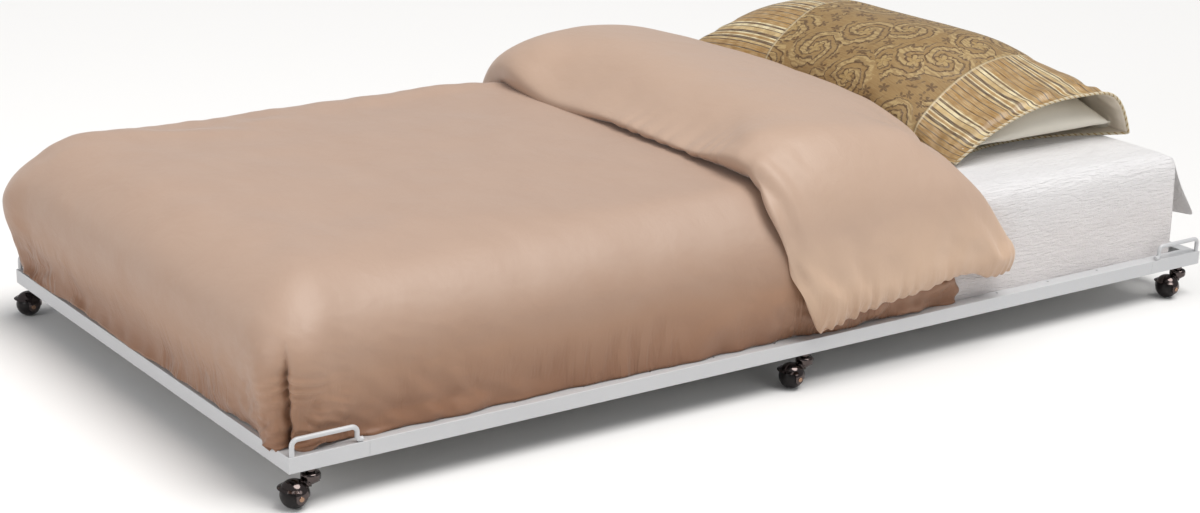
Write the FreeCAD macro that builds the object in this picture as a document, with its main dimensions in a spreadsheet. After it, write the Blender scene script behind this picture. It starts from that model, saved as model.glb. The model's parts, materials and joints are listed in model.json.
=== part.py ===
import FreeCAD, Part
import math
import os

import Sketcher

# Trundle bed, millimetres. +X runs from the foot end to the head end, +Y from the near side
# to the far side, +Z up. The origin is on the floor below the middle of the frame.

driving = {
    # steel frame of angle rails, flange on top and turned inwards
    "frameLength": 1892, "frameWidth": 978, "floorToRail": 57.5,
    "railFace": 24, "flangeWidth": 25, "steel": 2.5,
    "endReturn": 128, "seamGap": 0.6,
    # mattress retainer loops of bent rod
    "loopRod": 7.6, "loopRise": 28, "loopSpan": 111, "loopBend": 9, "loopFoot": 9,
    "loopInset": 2.2,
    # splices between the end returns and the side rails
    "spliceLength": 90, "spliceHeight": 17, "spliceSteel": 3, "studDiameter": 6,
    "studPitch": 22, "studInset": 14, "studSlack": 0.3, "nutFlats": 10, "nutHeight": 5,
    # link spring deck
    "wireDiameter": 3, "deckDrop": 7, "coilDiameter": 12, "coilLength": 62,
    "hookWire": 2.4, "hookReach": 13, "hookHole": 4.4, "hookEdge": 8,
    "eyeRadius": 4.6, "eyeLink": 6.3,
    "acrossPitch": 125, "alongPitch": 120,
    "barWidth": 25, "barHeight": 11, "barWall": 1.5, "barOffset": 26,
    # ball casters
    "casterInsetX": 40, "casterInsetY": 13, "ballDiameter": 41, "trail": 26,
    "axleDiameter": 5, "rivetDiameter": 7.6, "rivetHeight": 0.9,
    "hoodClearance": 0.8, "hoodWall": 1.3, "hoodFront": 10.5, "lugRadius": 7.6,
    "lipRadius": 24, "headDiameter": 29, "headHeight": 10, "headTop": 49.6,
    "headRounding": 4.4, "headGap": 0.4, "stemDiameter": 9.5, "stubDiameter": 14, "stemDepth": 8,
    "neckRise": 41, "neckDiameter": 17.6, "neckStart": 14, "neckLength": 13,
    "hornReach": 25.6, "hornInset": 1.4, "lipHeight": 2.6, "lipTaper": 0.86, "lipSetback": 4,
    "collarDiameter": 21, "collarHeight": 2.8, "collarReach": 22.8, "flareRadius": 5,
    "socketDiameter": 15.4, "runClearance": 0.06, "clearOfBall": 40,
    # bedding
    "mattressLength": 1815, "mattressWidth": 916, "mattressHeight": 183,
    "mattressShift": -8, "mattressEdge": 26, "sheetThick": 1.2,
    "duvetTop": 302, "duvetHalfWidth": 479, "duvetFoot": 943, "duvetHead": 420,
    "foldTop": 384, "foldHalfWidth": 494, "foldStart": -2, "foldEnd": 446, "duvetEdge": 55,
    "pillowLength": 830, "pillowWidth": 450, "pillowThick": 158, "pillowX": 680,
    "pillowY": 84, "pillowEdge": 56, "shamWall": 2,
}

doc = FreeCAD.newDocument("TrundleBed")
sheet = doc.addObject("Spreadsheet::Sheet", "Dims")
for row, (alias, value) in enumerate(driving.items(), start=1):
    sheet.set(f"A{row}", alias)
    sheet.set(f"B{row}", str(value))
    sheet.setAlias(f"B{row}", alias)
doc.recompute()

parts = []


def dim(alias):
    """Value of one driving dimension."""
    return float(sheet.get(alias))


def keep(item, label, x=0.0, y=0.0, z=0.0, turn=0.0):
    """Name a finished sub-part, put it in its place and list it for writing."""
    item.Label = label
    rotation = FreeCAD.Rotation(FreeCAD.Vector(0, 0, 1), turn)
    item.Placement = FreeCAD.Placement(FreeCAD.Vector(x, y, z), rotation)
    parts.append(item)
    return item


def bind(item, **expressions):
    """Bind properties of an object to expressions on the sheet."""
    for name, expression in expressions.items():
        item.setExpression(name.replace("__", "."), expression)
    return item


def solid(kind, name, corner=(None, None, None), **expressions):
    """Part primitive whose sizes and corner follow the sheet."""
    item = doc.addObject(f"Part::{kind}", name)
    bind(item, **expressions)
    for axis, expression in zip("xyz", corner):
        if expression is not None:
            item.setExpression(f"Placement.Base.{axis}", expression)
    return item


def fuse(name, items):
    item = doc.addObject("Part::MultiFuse", name)
    item.Shapes = items
    return item


def cut(name, base, tool):
    item = doc.addObject("Part::Cut", name)
    item.Base = base
    item.Tool = tool
    return item


def common(name, items):
    item = doc.addObject("Part::MultiCommon", name)
    item.Shapes = items
    return item


def roundEdges(name, base, radius, chosen=None):
    """Part::Fillet on the edges that a test picks out, or on all of them."""
    doc.recompute()
    item = doc.addObject("Part::Fillet", name)
    item.Base = base
    edges = []
    for number, edge in enumerate(base.Shape.Edges, start=1):
        if chosen is None or chosen(edge):
            edges.append((number, radius, radius))
    item.Edges = edges
    return item


def newBody(name):
    return doc.addObject("PartDesign::Body", name)


def plane(body, role):
    return next(item for item in body.Origin.OriginFeatures if item.Role == role)


def newSketch(body, name, role="XY_Plane"):
    sketch = body.newObject("Sketcher::SketchObject", name)
    sketch.AttachmentSupport = [(plane(body, role), "")]
    sketch.MapMode = "FlatFace"
    return sketch


def outline(sketch, corners):
    """Closed polygon whose corners sit at expressions on the sheet."""
    doc.recompute()
    count = len(corners)
    values = [tuple(evaluate(term) for term in corner) for corner in corners]
    lines = []
    for index in range(count):
        start = FreeCAD.Vector(*values[index], 0)
        end = FreeCAD.Vector(*values[(index + 1) % count], 0)
        lines.append(sketch.addGeometry(Part.LineSegment(start, end)))
    for index in range(count):
        following = lines[(index + 1) % count]
        sketch.addConstraint(Sketcher.Constraint("Coincident", lines[index], 2, following, 1))
    for index, corner in enumerate(corners):
        for kind, term, value in zip(("DistanceX", "DistanceY"), corner, values[index]):
            rule = Sketcher.Constraint(kind, -1, 1, lines[index], 1, value)
            place = sketch.addConstraint(rule)
            if "Dims" in term:
                sketch.setExpression(f"Constraints[{place}]", term)
    return sketch


def evaluate(term):
    """Number that an expression on the sheet gives now."""
    return float(sheet.evalExpression(term.replace("Dims.", "")))


def circle(sketch, across, upward, diameter):
    """Circle whose centre and diameter follow the sheet."""
    centre = FreeCAD.Vector(evaluate(across), evaluate(upward), 0)
    ring = sketch.addGeometry(Part.Circle(centre, FreeCAD.Vector(0, 0, 1), evaluate(diameter) / 2))
    rules = (("DistanceX", across), ("DistanceY", upward))
    for kind, term in rules:
        rule = Sketcher.Constraint(kind, -1, 1, ring, 3, evaluate(term))
        place = sketch.addConstraint(rule)
        if "Dims" in term:
            sketch.setExpression(f"Constraints[{place}]", term)
    place = sketch.addConstraint(Sketcher.Constraint("Diameter", ring, evaluate(diameter)))
    sketch.setExpression(f"Constraints[{place}]", diameter)
    return sketch


def pad(body, sketch, length, middle=False):
    item = body.newObject("PartDesign::Pad", f"{sketch.Name}Pad")
    item.Profile = sketch
    item.setExpression("Length", length)
    item.SideType = "Symmetric" if middle else "One side"
    sketch.Visibility = False
    return item


def pocket(body, sketch):
    """Cut a sketch right through the body, both ways, and prove that it cut."""
    doc.recompute()
    before = body.Shape.Volume
    item = body.newObject("PartDesign::Pocket", f"{sketch.Name}Cut")
    item.Profile = sketch
    item.Type = "ThroughAll"
    item.SideType = "Symmetric"
    doc.recompute()
    if item.Shape.Volume >= before:
        raise RuntimeError(f"{item.Name} cuts nothing")
    return item


def row(body, feature, direction, length, count):
    """Repeat a cut along one of the body's axes."""
    item = body.newObject("PartDesign::LinearPattern", f"{feature.Name}Row")
    item.Originals = [feature]
    item.Direction = (feature.Profile[0], [direction])
    item.setExpression("Length", length)
    item.Occurrences = count
    body.Tip = item
    return item


halfLength = dim("frameLength") / 2
halfWidth = dim("frameWidth") / 2
railBottom = dim("floorToRail")
railTop = railBottom + dim("railFace")


def group(label, unit, placements):
    """One node of identical loose pieces: copies of a unit shape set out by placements."""
    doc.recompute()
    copies = []
    for placement in placements:
        copy = unit.Shape.copy()
        copy.Placement = placement.multiply(copy.Placement)
        copies.append(copy)
    item = doc.addObject("Part::Feature", label)
    item.Shape = Part.makeCompound(copies)
    return keep(item, label)


def at(x, y, z, turn=0.0):
    rotation = FreeCAD.Rotation(FreeCAD.Vector(0, 0, 1), turn)
    return FreeCAD.Placement(FreeCAD.Vector(x, y, z), rotation)


# Angle rails. Each runs along its own X from 0, with its outer face on Y 0, its flange on
# top pointing to +Y, and its bottom edge on Z 0.

def angleRail(name, length, mitres=(), holes=None):
    body = newBody(name)
    profile = newSketch(body, f"{name}Section", "YZ_Plane")
    outline(profile, [
        ("0", "0"), ("Dims.steel", "0"), ("Dims.steel", "Dims.railFace - Dims.steel"),
        ("Dims.flangeWidth", "Dims.railFace - Dims.steel"),
        ("Dims.flangeWidth", "Dims.railFace"), ("0", "Dims.railFace"),
    ])
    run = pad(body, profile, length)
    doc.recompute()
    softened = body.newObject("PartDesign::Fillet", f"{name}Edge")
    softened.Base = (run, longEdges(run.Shape, dim("railFace")))
    softened.Radius = 0.9
    if "start" in mitres:
        corner = newSketch(body, f"{name}StartMitre")
        outline(corner, [
            ("-1", "-1"), ("Dims.flangeWidth + 1", "Dims.flangeWidth + 1"),
            ("-1", "Dims.flangeWidth + 1"),
        ])
        pocket(body, corner)
    if "end" in mitres:
        corner = newSketch(body, f"{name}EndMitre")
        outline(corner, [
            (f"{length} + 1", "-1"), (f"{length} + 1", "Dims.flangeWidth + 1"),
            (f"{length} - Dims.flangeWidth - 1", "Dims.flangeWidth + 1"),
        ])
        pocket(body, corner)
    if holes:
        first, pitch, count = holes
        hole = newSketch(body, f"{name}HookHole")
        circle(hole, first, "Dims.flangeWidth - Dims.hookEdge", "Dims.hookHole")
        punched = pocket(body, hole)
        row(body, punched, "H_Axis", f"{pitch} * {count - 1}", count)
    return body


def longEdges(shape, height):
    """Edges along the outer top corner of a rail."""
    names = []
    for number, edge in enumerate(shape.Edges, start=1):
        middle = edge.BoundBox.Center
        if abs(middle.y) < 0.01 and abs(middle.z - height) < 0.01 and edge.Length > 50:
            names.append(f"Edge{number}")
    return names


alongCount = 7
acrossCount = 12
endHoles = (f"(Dims.frameWidth - Dims.alongPitch * {alongCount - 1}) / 2",
            "Dims.alongPitch", alongCount)
sideLength = "Dims.frameLength - 2 * Dims.endReturn - Dims.seamGap"
sideHoles = (f"({sideLength} - Dims.acrossPitch * {acrossCount - 1}) / 2",
             "Dims.acrossPitch", acrossCount)
sideHalf = evaluate(sideLength) / 2

footRail = angleRail("FootRail", "Dims.frameWidth", ("start", "end"), endHoles)
keep(footRail, "foot_rail", -halfLength, halfWidth, railBottom, -90)
headRail = angleRail("HeadRail", "Dims.frameWidth", ("start", "end"), endHoles)
keep(headRail, "head_rail", halfLength, -halfWidth, railBottom, 90)
nearRail = angleRail("NearRail", sideLength, (), sideHoles)
keep(nearRail, "near_side_rail", -sideHalf, -halfWidth, railBottom, 0)
farRail = angleRail("FarRail", sideLength, (), sideHoles)
keep(farRail, "far_side_rail", sideHalf, halfWidth, railBottom, 180)

endReturn = dim("endReturn")
returns = {
    "return_foot_near": ("start", -halfLength, -halfWidth, 0),
    "return_head_near": ("end", halfLength - endReturn, -halfWidth, 0),
    "return_head_far": ("start", halfLength, halfWidth, 180),
    "return_foot_far": ("end", -halfLength + endReturn, halfWidth, 180),
}
for label, (mitre, x, y, turn) in returns.items():
    rail = angleRail(label.title().replace("_", ""), "Dims.endReturn", (mitre,))
    keep(rail, label, x, y, railBottom, turn)

# Splices: a plate welded inside each end return reaches past the seam, and two studs on the
# side rail pass through it to their nuts.

seam = halfLength - endReturn
studSpots = []
plateSpots = []
for end in (-1, 1):
    for side in (-1, 1):
        turn = 0 if side < 0 else 180
        plateSpots.append(at(end * seam, side * halfWidth, railBottom, turn))
        for step in (0, 1):
            x = end * (seam - dim("studInset") - step * dim("studPitch"))
            studSpots.append(at(x, side * halfWidth, railBottom, turn))

plateZ = "(Dims.railFace - Dims.steel - Dims.spliceHeight) / 2"
studZ = "(Dims.railFace - Dims.steel) / 2"
plate = solid("Box", "SplicePlate", ("-Dims.spliceLength / 2", "Dims.steel", plateZ),
              Length="Dims.spliceLength", Width="Dims.spliceSteel", Height="Dims.spliceHeight")
holes = []
for direction in (-1, 1):
    for step in (0, 1):
        offset = f"{direction} * (Dims.studInset + {step} * Dims.studPitch)"
        hole = solid("Cylinder", "StudHole", (offset, "Dims.steel - 1", studZ),
                     Radius="Dims.studDiameter / 2 + Dims.studSlack",
                     Height="Dims.spliceSteel + 2")
        hole.Placement.Rotation = FreeCAD.Rotation(FreeCAD.Vector(1, 0, 0), -90)
        holes.append(hole)
group("splice_plates", cut("DrilledPlate", plate, fuse("StudHoles", holes)), plateSpots)

stud = solid("Cylinder", "Stud", (None, "Dims.steel", studZ), Radius="Dims.studDiameter / 2",
             Height="Dims.spliceSteel + Dims.nutHeight + 2")
stud.Placement.Rotation = FreeCAD.Rotation(FreeCAD.Vector(1, 0, 0), -90)
group("splice_studs", stud, studSpots)

nutBlank = solid("Prism", "NutBlank", (None, "Dims.steel + Dims.spliceSteel", studZ),
                 Circumradius="Dims.nutFlats / sqrt(3)", Height="Dims.nutHeight")
nutBlank.Polygon = 6
nutBlank.Placement.Rotation = FreeCAD.Rotation(FreeCAD.Vector(1, 0, 0), -90)
nutBore = solid("Cylinder", "NutBore", (None, "Dims.steel", studZ),
                Radius="Dims.studDiameter / 2", Height="Dims.spliceSteel + Dims.nutHeight + 2")
nutBore.Placement.Rotation = FreeCAD.Rotation(FreeCAD.Vector(1, 0, 0), -90)
group("splice_nuts", cut("Nut", nutBlank, nutBore), studSpots)


# Mattress retainers: a rod bent into a low loop, standing on the rail's flange. The leg
# nearer the seam turns out into a short foot that lies on the flange.

def bentPath(sketch, corners, bends):
    """Open path of level and upright runs joined by arcs, bound to the sheet."""
    points = [FreeCAD.Vector(*(evaluate(term) for term in corner), 0) for corner in corners]
    starts = list(points)
    ends = list(points)
    arcs = []
    for index, bend in enumerate(bends, start=1):
        radius = evaluate(bend)
        point = points[index]
        before = (points[index - 1] - point).normalize()
        after = (points[index + 1] - point).normalize()
        centre = point + (before + after) * radius
        middle = centre + (point - centre).normalize() * radius
        ends[index] = point + before * radius
        starts[index] = point + after * radius
        arcs.append(Part.Arc(ends[index], middle, starts[index]))
    runs = []
    for index in range(len(points) - 1):
        line = Part.LineSegment(starts[index], ends[index + 1])
        runs.append(sketch.addGeometry(line))
    for index, arc in enumerate(arcs):
        curve = sketch.addGeometry(arc)
        first = 1 if sketch.getPoint(curve, 1).distanceToPoint(ends[index + 1]) < 0.01 else 2
        sketch.addConstraint(Sketcher.Constraint("Tangent", runs[index], 2, curve, first))
        sketch.addConstraint(Sketcher.Constraint("Tangent", runs[index + 1], 1, curve, 3 - first))
        place = sketch.addConstraint(Sketcher.Constraint("Radius", curve, evaluate(bends[index])))
        if "Dims" in bends[index]:
            sketch.setExpression(f"Constraints[{place}]", bends[index])
    for index, run in enumerate(runs):
        level = abs(points[index].y - points[index + 1].y) < 0.01
        sketch.addConstraint(Sketcher.Constraint("Horizontal" if level else "Vertical", run))
        kind, term = ("DistanceY", corners[index][1]) if level else ("DistanceX", corners[index][0])
        place = sketch.addConstraint(Sketcher.Constraint(kind, -1, 1, run, 1, evaluate(term)))
        if "Dims" in term:
            sketch.setExpression(f"Constraints[{place}]", term)
    return sketch


def retainerLoop(name, mirrored):
    """Loop from its corner leg at X 0, running to +X, or to -X when mirrored."""
    way = "-1 * " if mirrored else ""
    farLeg = f"{way}(Dims.loopSpan - Dims.loopRod)"
    body = newBody(name)
    path = newSketch(body, f"{name}Path", "XZ_Plane")
    bentPath(path, [
        ("0", "0"), ("0", "Dims.loopRise - Dims.loopRod / 2"),
        (farLeg, "Dims.loopRise - Dims.loopRod / 2"), (farLeg, "Dims.loopRod / 2"),
        (f"{farLeg} + {way}Dims.loopFoot", "Dims.loopRod / 2"),
    ], ["Dims.loopBend", "Dims.loopBend", "5"])
    section = newSketch(body, f"{name}Section", "XY_Plane")
    circle(section, "0", "0", "Dims.loopRod")
    doc.recompute()
    rod = body.newObject("PartDesign::AdditivePipe", f"{name}Rod")
    rod.Profile = section
    rod.Spine = (path, [f"Edge{n}" for n in range(1, len(path.Shape.Edges) + 1)])
    return body


loopX = halfLength - dim("loopInset") - dim("loopRod") / 2
loopY = halfWidth - dim("loopRod") / 2
loops = {
    "retainer_foot_near": (-1, -1), "retainer_foot_far": (-1, 1),
    "retainer_head_near": (1, -1), "retainer_head_far": (1, 1),
}
for label, (end, side) in loops.items():
    loop = retainerLoop(label.title().replace("_", ""), end > 0)
    keep(loop, label, end * loopX, side * loopY, railTop)

# Link spring deck: wires along and across, each with an eye at both ends, hung in coil
# springs whose hooks go up through the rails' flanges.

deckZ = railTop - dim("deckDrop")
eye = dim("eyeRadius")
hookInset = dim("flangeWidth") - dim("hookEdge")
springReach = hookInset + dim("hookReach") + dim("coilLength") + eye + dim("eyeLink")
alongHalf = halfLength - springReach
acrossHalf = halfWidth - springReach


def wire(name, half, upright):
    """Straight wire along X with a closed eye at each end."""
    pieces = [solid("Cylinder", f"{name}Run", (str(-half + eye), None, None),
                    Radius="Dims.wireDiameter / 2", Height=str(2 * (half - eye)))]
    pieces[0].Placement.Rotation = FreeCAD.Rotation(FreeCAD.Vector(0, 1, 0), 90)
    for end in (-1, 1):
        ring = solid("Torus", f"{name}Eye", (str(end * half), None, None),
                     Radius1="Dims.eyeRadius", Radius2="Dims.wireDiameter / 2")
        if upright:
            ring.Placement.Rotation = FreeCAD.Rotation(FreeCAD.Vector(1, 0, 0), 90)
        pieces.append(ring)
    return fuse(name, pieces)


acrossZ = deckZ - dim("wireDiameter") - 0.2
alongRows = [(n - (alongCount - 1) / 2) * dim("alongPitch") for n in range(alongCount)]
acrossRows = [(n - (acrossCount - 1) / 2) * dim("acrossPitch") for n in range(acrossCount)]
group("deck_wires_along", wire("AlongWire", alongHalf, False),
      [at(0, y, deckZ) for y in alongRows])
group("deck_wires_across", wire("AcrossWire", acrossHalf, False),
      [at(x, 0, acrossZ, 90) for x in acrossRows])


def coilSpring(name, hookRise):
    """Close-wound spring along X: hook leg at X 0, barrel, then an upright eye."""
    start = dim("hookReach")
    barrel = solid("Cylinder", f"{name}Barrel", (str(start), None, None),
                   Radius="Dims.coilDiameter / 2", Height="Dims.coilLength")
    core = solid("Cylinder", f"{name}Core", (str(start + 2.5), None, None),
                 Radius="Dims.coilDiameter / 2 - Dims.hookWire", Height="Dims.coilLength - 5")
    shank = solid("Cylinder", f"{name}Shank", ("0", None, None),
                  Radius="Dims.hookWire / 2", Height=str(start + 1))
    for item in (barrel, core, shank):
        item.Placement.Rotation = FreeCAD.Rotation(FreeCAD.Vector(0, 1, 0), 90)
    elbow = solid("Sphere", f"{name}Elbow", Radius="Dims.hookWire / 2")
    leg = solid("Cylinder", f"{name}Leg", Radius="Dims.hookWire / 2", Height=str(hookRise))
    eyeX = "Dims.hookReach + Dims.coilLength + Dims.eyeRadius"
    ring = solid("Torus", f"{name}Eye", (eyeX, None, None),
                 Radius1="Dims.eyeRadius", Radius2="Dims.hookWire / 2")
    ring.Placement.Rotation = FreeCAD.Rotation(FreeCAD.Vector(1, 0, 0), 90)
    hollow = cut(f"{name}Tube", barrel, core)
    return fuse(name, [hollow, shank, elbow, leg, ring])


hookX = halfLength - hookInset
hookY = halfWidth - hookInset
endSpots = [at(end * hookX, y, deckZ, 0 if end < 0 else 180)
            for end in (-1, 1) for y in alongRows]
sideSpots = [at(x, side * hookY, acrossZ, 90 if side < 0 else -90)
             for side in (-1, 1) for x in acrossRows]
group("deck_springs_ends", coilSpring("EndSpring", railTop - 0.3 - deckZ), endSpots)
group("deck_springs_sides", coilSpring("SideSpring", railTop - 0.3 - acrossZ), sideSpots)

# Cross bar: a flat tube welded between the side rails beside the middle casters.

barLength = "Dims.frameWidth - 2 * Dims.steel"
bar = newBody("CrossBar")
barSection = newSketch(bar, "BarSection", "XZ_Plane")
outline(barSection, [("0", "0"), ("Dims.barWidth", "0"), ("Dims.barWidth", "Dims.barHeight"),
                     ("0", "Dims.barHeight")])
pad(bar, barSection, barLength, middle=True)
barCore = newSketch(bar, "BarCore", "XZ_Plane")
outline(barCore, [
    ("Dims.barWall", "Dims.barWall"), ("Dims.barWidth - Dims.barWall", "Dims.barWall"),
    ("Dims.barWidth - Dims.barWall", "Dims.barHeight - Dims.barWall"),
    ("Dims.barWall", "Dims.barHeight - Dims.barWall"),
])
pocket(bar, barCore)
keep(bar, "middle_crossbar", dim("barOffset") - dim("barWidth") / 2, 0, railBottom)

# Caster sockets: a short tube under the flange, tied to the rail's upright leg by a web.

casterX = halfLength - dim("casterInsetX")
casterY = halfWidth - dim("casterInsetY")
casters = {
    "foot_near": (-casterX, -casterY), "mid_near": (0, -casterY), "head_near": (casterX, -casterY),
    "foot_far": (-casterX, casterY), "mid_far": (0, casterY), "head_far": (casterX, casterY),
}
socketHeight = "Dims.railFace - Dims.steel"
socketTube = solid("Cylinder", "SocketTube", (None, "Dims.casterInsetY", None),
                   Radius="Dims.socketDiameter / 2", Height=socketHeight)
socketWeb = solid("Box", "SocketWeb", ("-Dims.socketDiameter / 4", "Dims.steel", None),
                  Length="Dims.socketDiameter / 2", Width="Dims.casterInsetY - Dims.steel",
                  Height=socketHeight)
socketBore = solid("Cylinder", "SocketBore", (None, "Dims.casterInsetY", "-1"),
                   Radius="Dims.stemDiameter / 2", Height="Dims.railFace + 2")
socket = cut("Socket", fuse("SocketBlank", [socketTube, socketWeb]), socketBore)
group("caster_sockets", socket, [
    at(x, math.copysign(halfWidth, y), railBottom, 0 if y < 0 else 180)
    for x, y in casters.values()])

# Ball casters. Each is drawn with its stem on the Z axis and the floor at Z 0, trailing to -X.

ballRadius = "Dims.ballDiameter / 2"
hoodInner = "(Dims.ballDiameter / 2 + Dims.hoodClearance)"
hoodOuter = "(Dims.ballDiameter / 2 + Dims.hoodClearance + Dims.hoodWall)"
ballAt = ("-Dims.trail", None, ballRadius)
neckTilt = math.degrees(math.atan2(dim("trail"), dim("neckRise") - dim("ballDiameter") / 2))
neckTurn = FreeCAD.Rotation(FreeCAD.Vector(0, 1, 0), neckTilt)
neckWay = neckTurn.multVec(FreeCAD.Vector(0, 0, 1))
ballCentre = FreeCAD.Vector(-dim("trail"), 0, dim("ballDiameter") / 2)
acrossY = FreeCAD.Rotation(FreeCAD.Vector(1, 0, 0), 90)


def along(item, distance):
    """Set a round primitive on the neck's slanted axis, measured from the ball's centre."""
    item.Placement = FreeCAD.Placement(ballCentre + neckWay * distance, neckTurn)
    return item


def pinAcross(name, radius, length, centre):
    """Cylinder along Y, centred on the ball's axle."""
    item = solid("Cylinder", name, Radius=radius, Height=length)
    item.Placement.Rotation = acrossY
    bind(item, Placement__Base__x=centre[0], Placement__Base__z=centre[2])
    item.setExpression("Placement.Base.y", f"({length}) / 2")
    return item


def swivelHood(tag):
    """Pressed hood over the ball, with its neck and the domed swivel head."""
    reach = "Dims.clearOfBall"
    across = "2 * Dims.clearOfBall"
    rimLevel = f"{ballRadius} + Dims.hoodFront"
    lugLevel = f"{ballRadius} - 1"
    flareX = "-Dims.trail - Dims.lugRadius - Dims.flareRadius"
    flareZ = f"{rimLevel} - Dims.flareRadius"

    # the ball's shell is kept above the rim, behind the axle, and round the two lugs
    shell = solid("Sphere", f"Shell{tag}", ballAt, Radius=hoodOuter)
    front = solid("Box", f"Front{tag}", (f"-Dims.trail - {reach}", f"-{reach}", rimLevel),
                  Length=across, Width=across, Height=reach)
    rear = solid("Box", f"Rear{tag}", ("-Dims.trail", f"-{reach}", lugLevel),
                 Length=reach, Width=across, Height=reach)
    lug = pinAcross(f"Lug{tag}", "Dims.lugRadius", across, ("-Dims.trail", None, lugLevel))
    shoulder = solid("Box", f"Shoulder{tag}",
                     ("-Dims.trail - Dims.lugRadius", f"-{reach}", lugLevel),
                     Length="Dims.lugRadius", Width=across, Height="Dims.hoodFront + 1")
    sweep = solid("Cylinder", f"Sweep{tag}", (flareX, reach, flareZ),
                  Radius="Dims.flareRadius", Height=across)
    sweep.Placement.Rotation = acrossY
    fill = solid("Box", f"Fill{tag}", (flareX, f"-{reach}", flareZ),
                 Length="Dims.flareRadius + 1", Width=across, Height="Dims.flareRadius + 1")
    flare = cut(f"Flare{tag}", fill, sweep)
    kept = fuse(f"Kept{tag}", [front, rear, lug, shoulder, flare])
    trimmed = common(f"Trimmed{tag}", [shell, kept])

    # pointed lip along the front of the rim
    lip = solid("Cone", f"Lip{tag}", ("-Dims.trail", None, rimLevel),
                Radius1="Dims.lipRadius", Radius2=f"{hoodOuter} * Dims.lipTaper",
                Height="Dims.lipHeight")
    lipFront = solid("Box", f"LipFront{tag}", (f"-Dims.trail - {reach}", f"-{reach}", ballRadius),
                     Length=f"{reach} - Dims.lipSetback", Width=across, Height=reach)
    visor = common(f"Visor{tag}", [lip, lipFront])

    # neck slanting up to the swivel head, which turns on the stem
    neck = solid("Cylinder", f"Neck{tag}", Radius="Dims.neckDiameter / 2",
                 Height="Dims.neckLength")
    along(neck, dim("neckStart"))
    taper = solid("Cone", f"Taper{tag}", Radius1="Dims.neckDiameter / 2",
                  Radius2="Dims.headDiameter / 2 - 0.4", Height="Dims.neckLength")
    along(taper, dim("hornReach"))
    under = solid("Cylinder", f"Under{tag}", (None, None, ballRadius),
                  Radius="Dims.headDiameter / 2 - Dims.hornInset",
                  Height=f"Dims.headTop - Dims.headHeight + 1.6 - {ballRadius}")
    horn = common(f"Horn{tag}", [taper, under])
    head = solid("Cylinder", f"Head{tag}", (None, None, "Dims.headTop - Dims.headHeight"),
                 Radius="Dims.headDiameter / 2", Height="Dims.headHeight")
    top = dim("headTop")
    domed = roundEdges(f"Domed{tag}", head, dim("headRounding"),
                       lambda edge: abs(edge.BoundBox.ZMin - top) < 0.01
                       and abs(edge.BoundBox.ZMax - top) < 0.01)

    hollow = solid("Sphere", f"Hollow{tag}", ballAt, Radius=hoodInner)
    bore = solid("Cylinder", f"Bore{tag}", (None, None, "Dims.headTop - Dims.stemDepth - Dims.headGap"),
                 Radius="Dims.stemDiameter / 2 + Dims.runClearance", Height="Dims.floorToRail")
    axle = pinAcross(f"AxleHole{tag}", "Dims.axleDiameter / 2", across, ballAt)
    blank = fuse(f"HoodBlank{tag}", [trimmed, visor, neck, horn, domed])
    return blank, cut(f"Hood{tag}", blank, fuse(f"HoodVoids{tag}", [hollow, bore, axle]))


def collarBand(tag, blank):
    """Raised ring round the neck where it leaves the hood."""
    ring = along(solid("Cylinder", f"Ring{tag}", Radius="Dims.collarDiameter / 2",
                       Height="Dims.collarHeight"), dim("collarReach"))
    rounded = roundEdges(f"RoundRing{tag}", ring, dim("collarHeight") * 0.4,
                         lambda edge: edge.Curve.TypeId == "Part::GeomCircle")
    return cut(f"Band{tag}", rounded, blank)


def casterStem(tag):
    """Fixed stem: a pin from the socket down into the swivel head, with a stub collar."""
    pin = solid("Cylinder", f"Pin{tag}", (None, None, "Dims.headTop - Dims.stemDepth"),
                Radius="Dims.stemDiameter / 2",
                Height="Dims.floorToRail + Dims.railFace - Dims.steel - 1"
                       " - Dims.headTop + Dims.stemDepth")
    stub = solid("Cylinder", f"Stub{tag}", (None, None, "Dims.headTop + Dims.headGap"),
                 Radius="Dims.stubDiameter / 2",
                 Height="Dims.floorToRail - Dims.headTop - Dims.headGap")
    return fuse(f"Stem{tag}", [pin, stub])


def axlePin(tag):
    """Riveted axle: a pin across the ball with a flat head on each end."""
    pin = pinAcross(f"Axle{tag}", "Dims.axleDiameter / 2",
                    "2 * (Dims.ballDiameter / 2 + Dims.hoodClearance + Dims.hoodWall)", ballAt)
    ends = pinAcross(f"Rivet{tag}", "Dims.rivetDiameter / 2",
                     f"2 * ({hoodOuter} + Dims.rivetHeight)", ballAt)
    rounded = roundEdges(f"RoundRivet{tag}", ends, 0.5,
                         lambda edge: edge.Curve.TypeId == "Part::GeomCircle")
    inside = solid("Sphere", f"RivetVoid{tag}", ballAt, Radius=hoodOuter)
    return fuse(f"Pivot{tag}", [pin, cut(f"RivetHeads{tag}", rounded, inside)])


def casterBall(tag):
    ball = solid("Sphere", f"Ball{tag}", ballAt, Radius=ballRadius)
    bore = pinAcross(f"BallBore{tag}", "Dims.axleDiameter / 2 + Dims.runClearance",
                     "2 * Dims.clearOfBall", ballAt)
    return cut(f"BoredBall{tag}", ball, bore)


for place, (x, y) in casters.items():
    tag = place.title().replace("_", "")
    blank, hood = swivelHood(tag)
    keep(hood, f"hood_{place}", x, y)
    keep(collarBand(tag, blank), f"collar_{place}", x, y)
    keep(casterStem(tag), f"stem_{place}", x, y)
    keep(axlePin(tag), f"axle_{place}", x, y)
    keep(casterBall(tag), f"ball_{place}", x, y)

# Bedding: mattress, fitted sheet, duvet turned back below the pillow, and the pillow in its
# open-ended sham. Plain closed solids of the outer shape.


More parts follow.
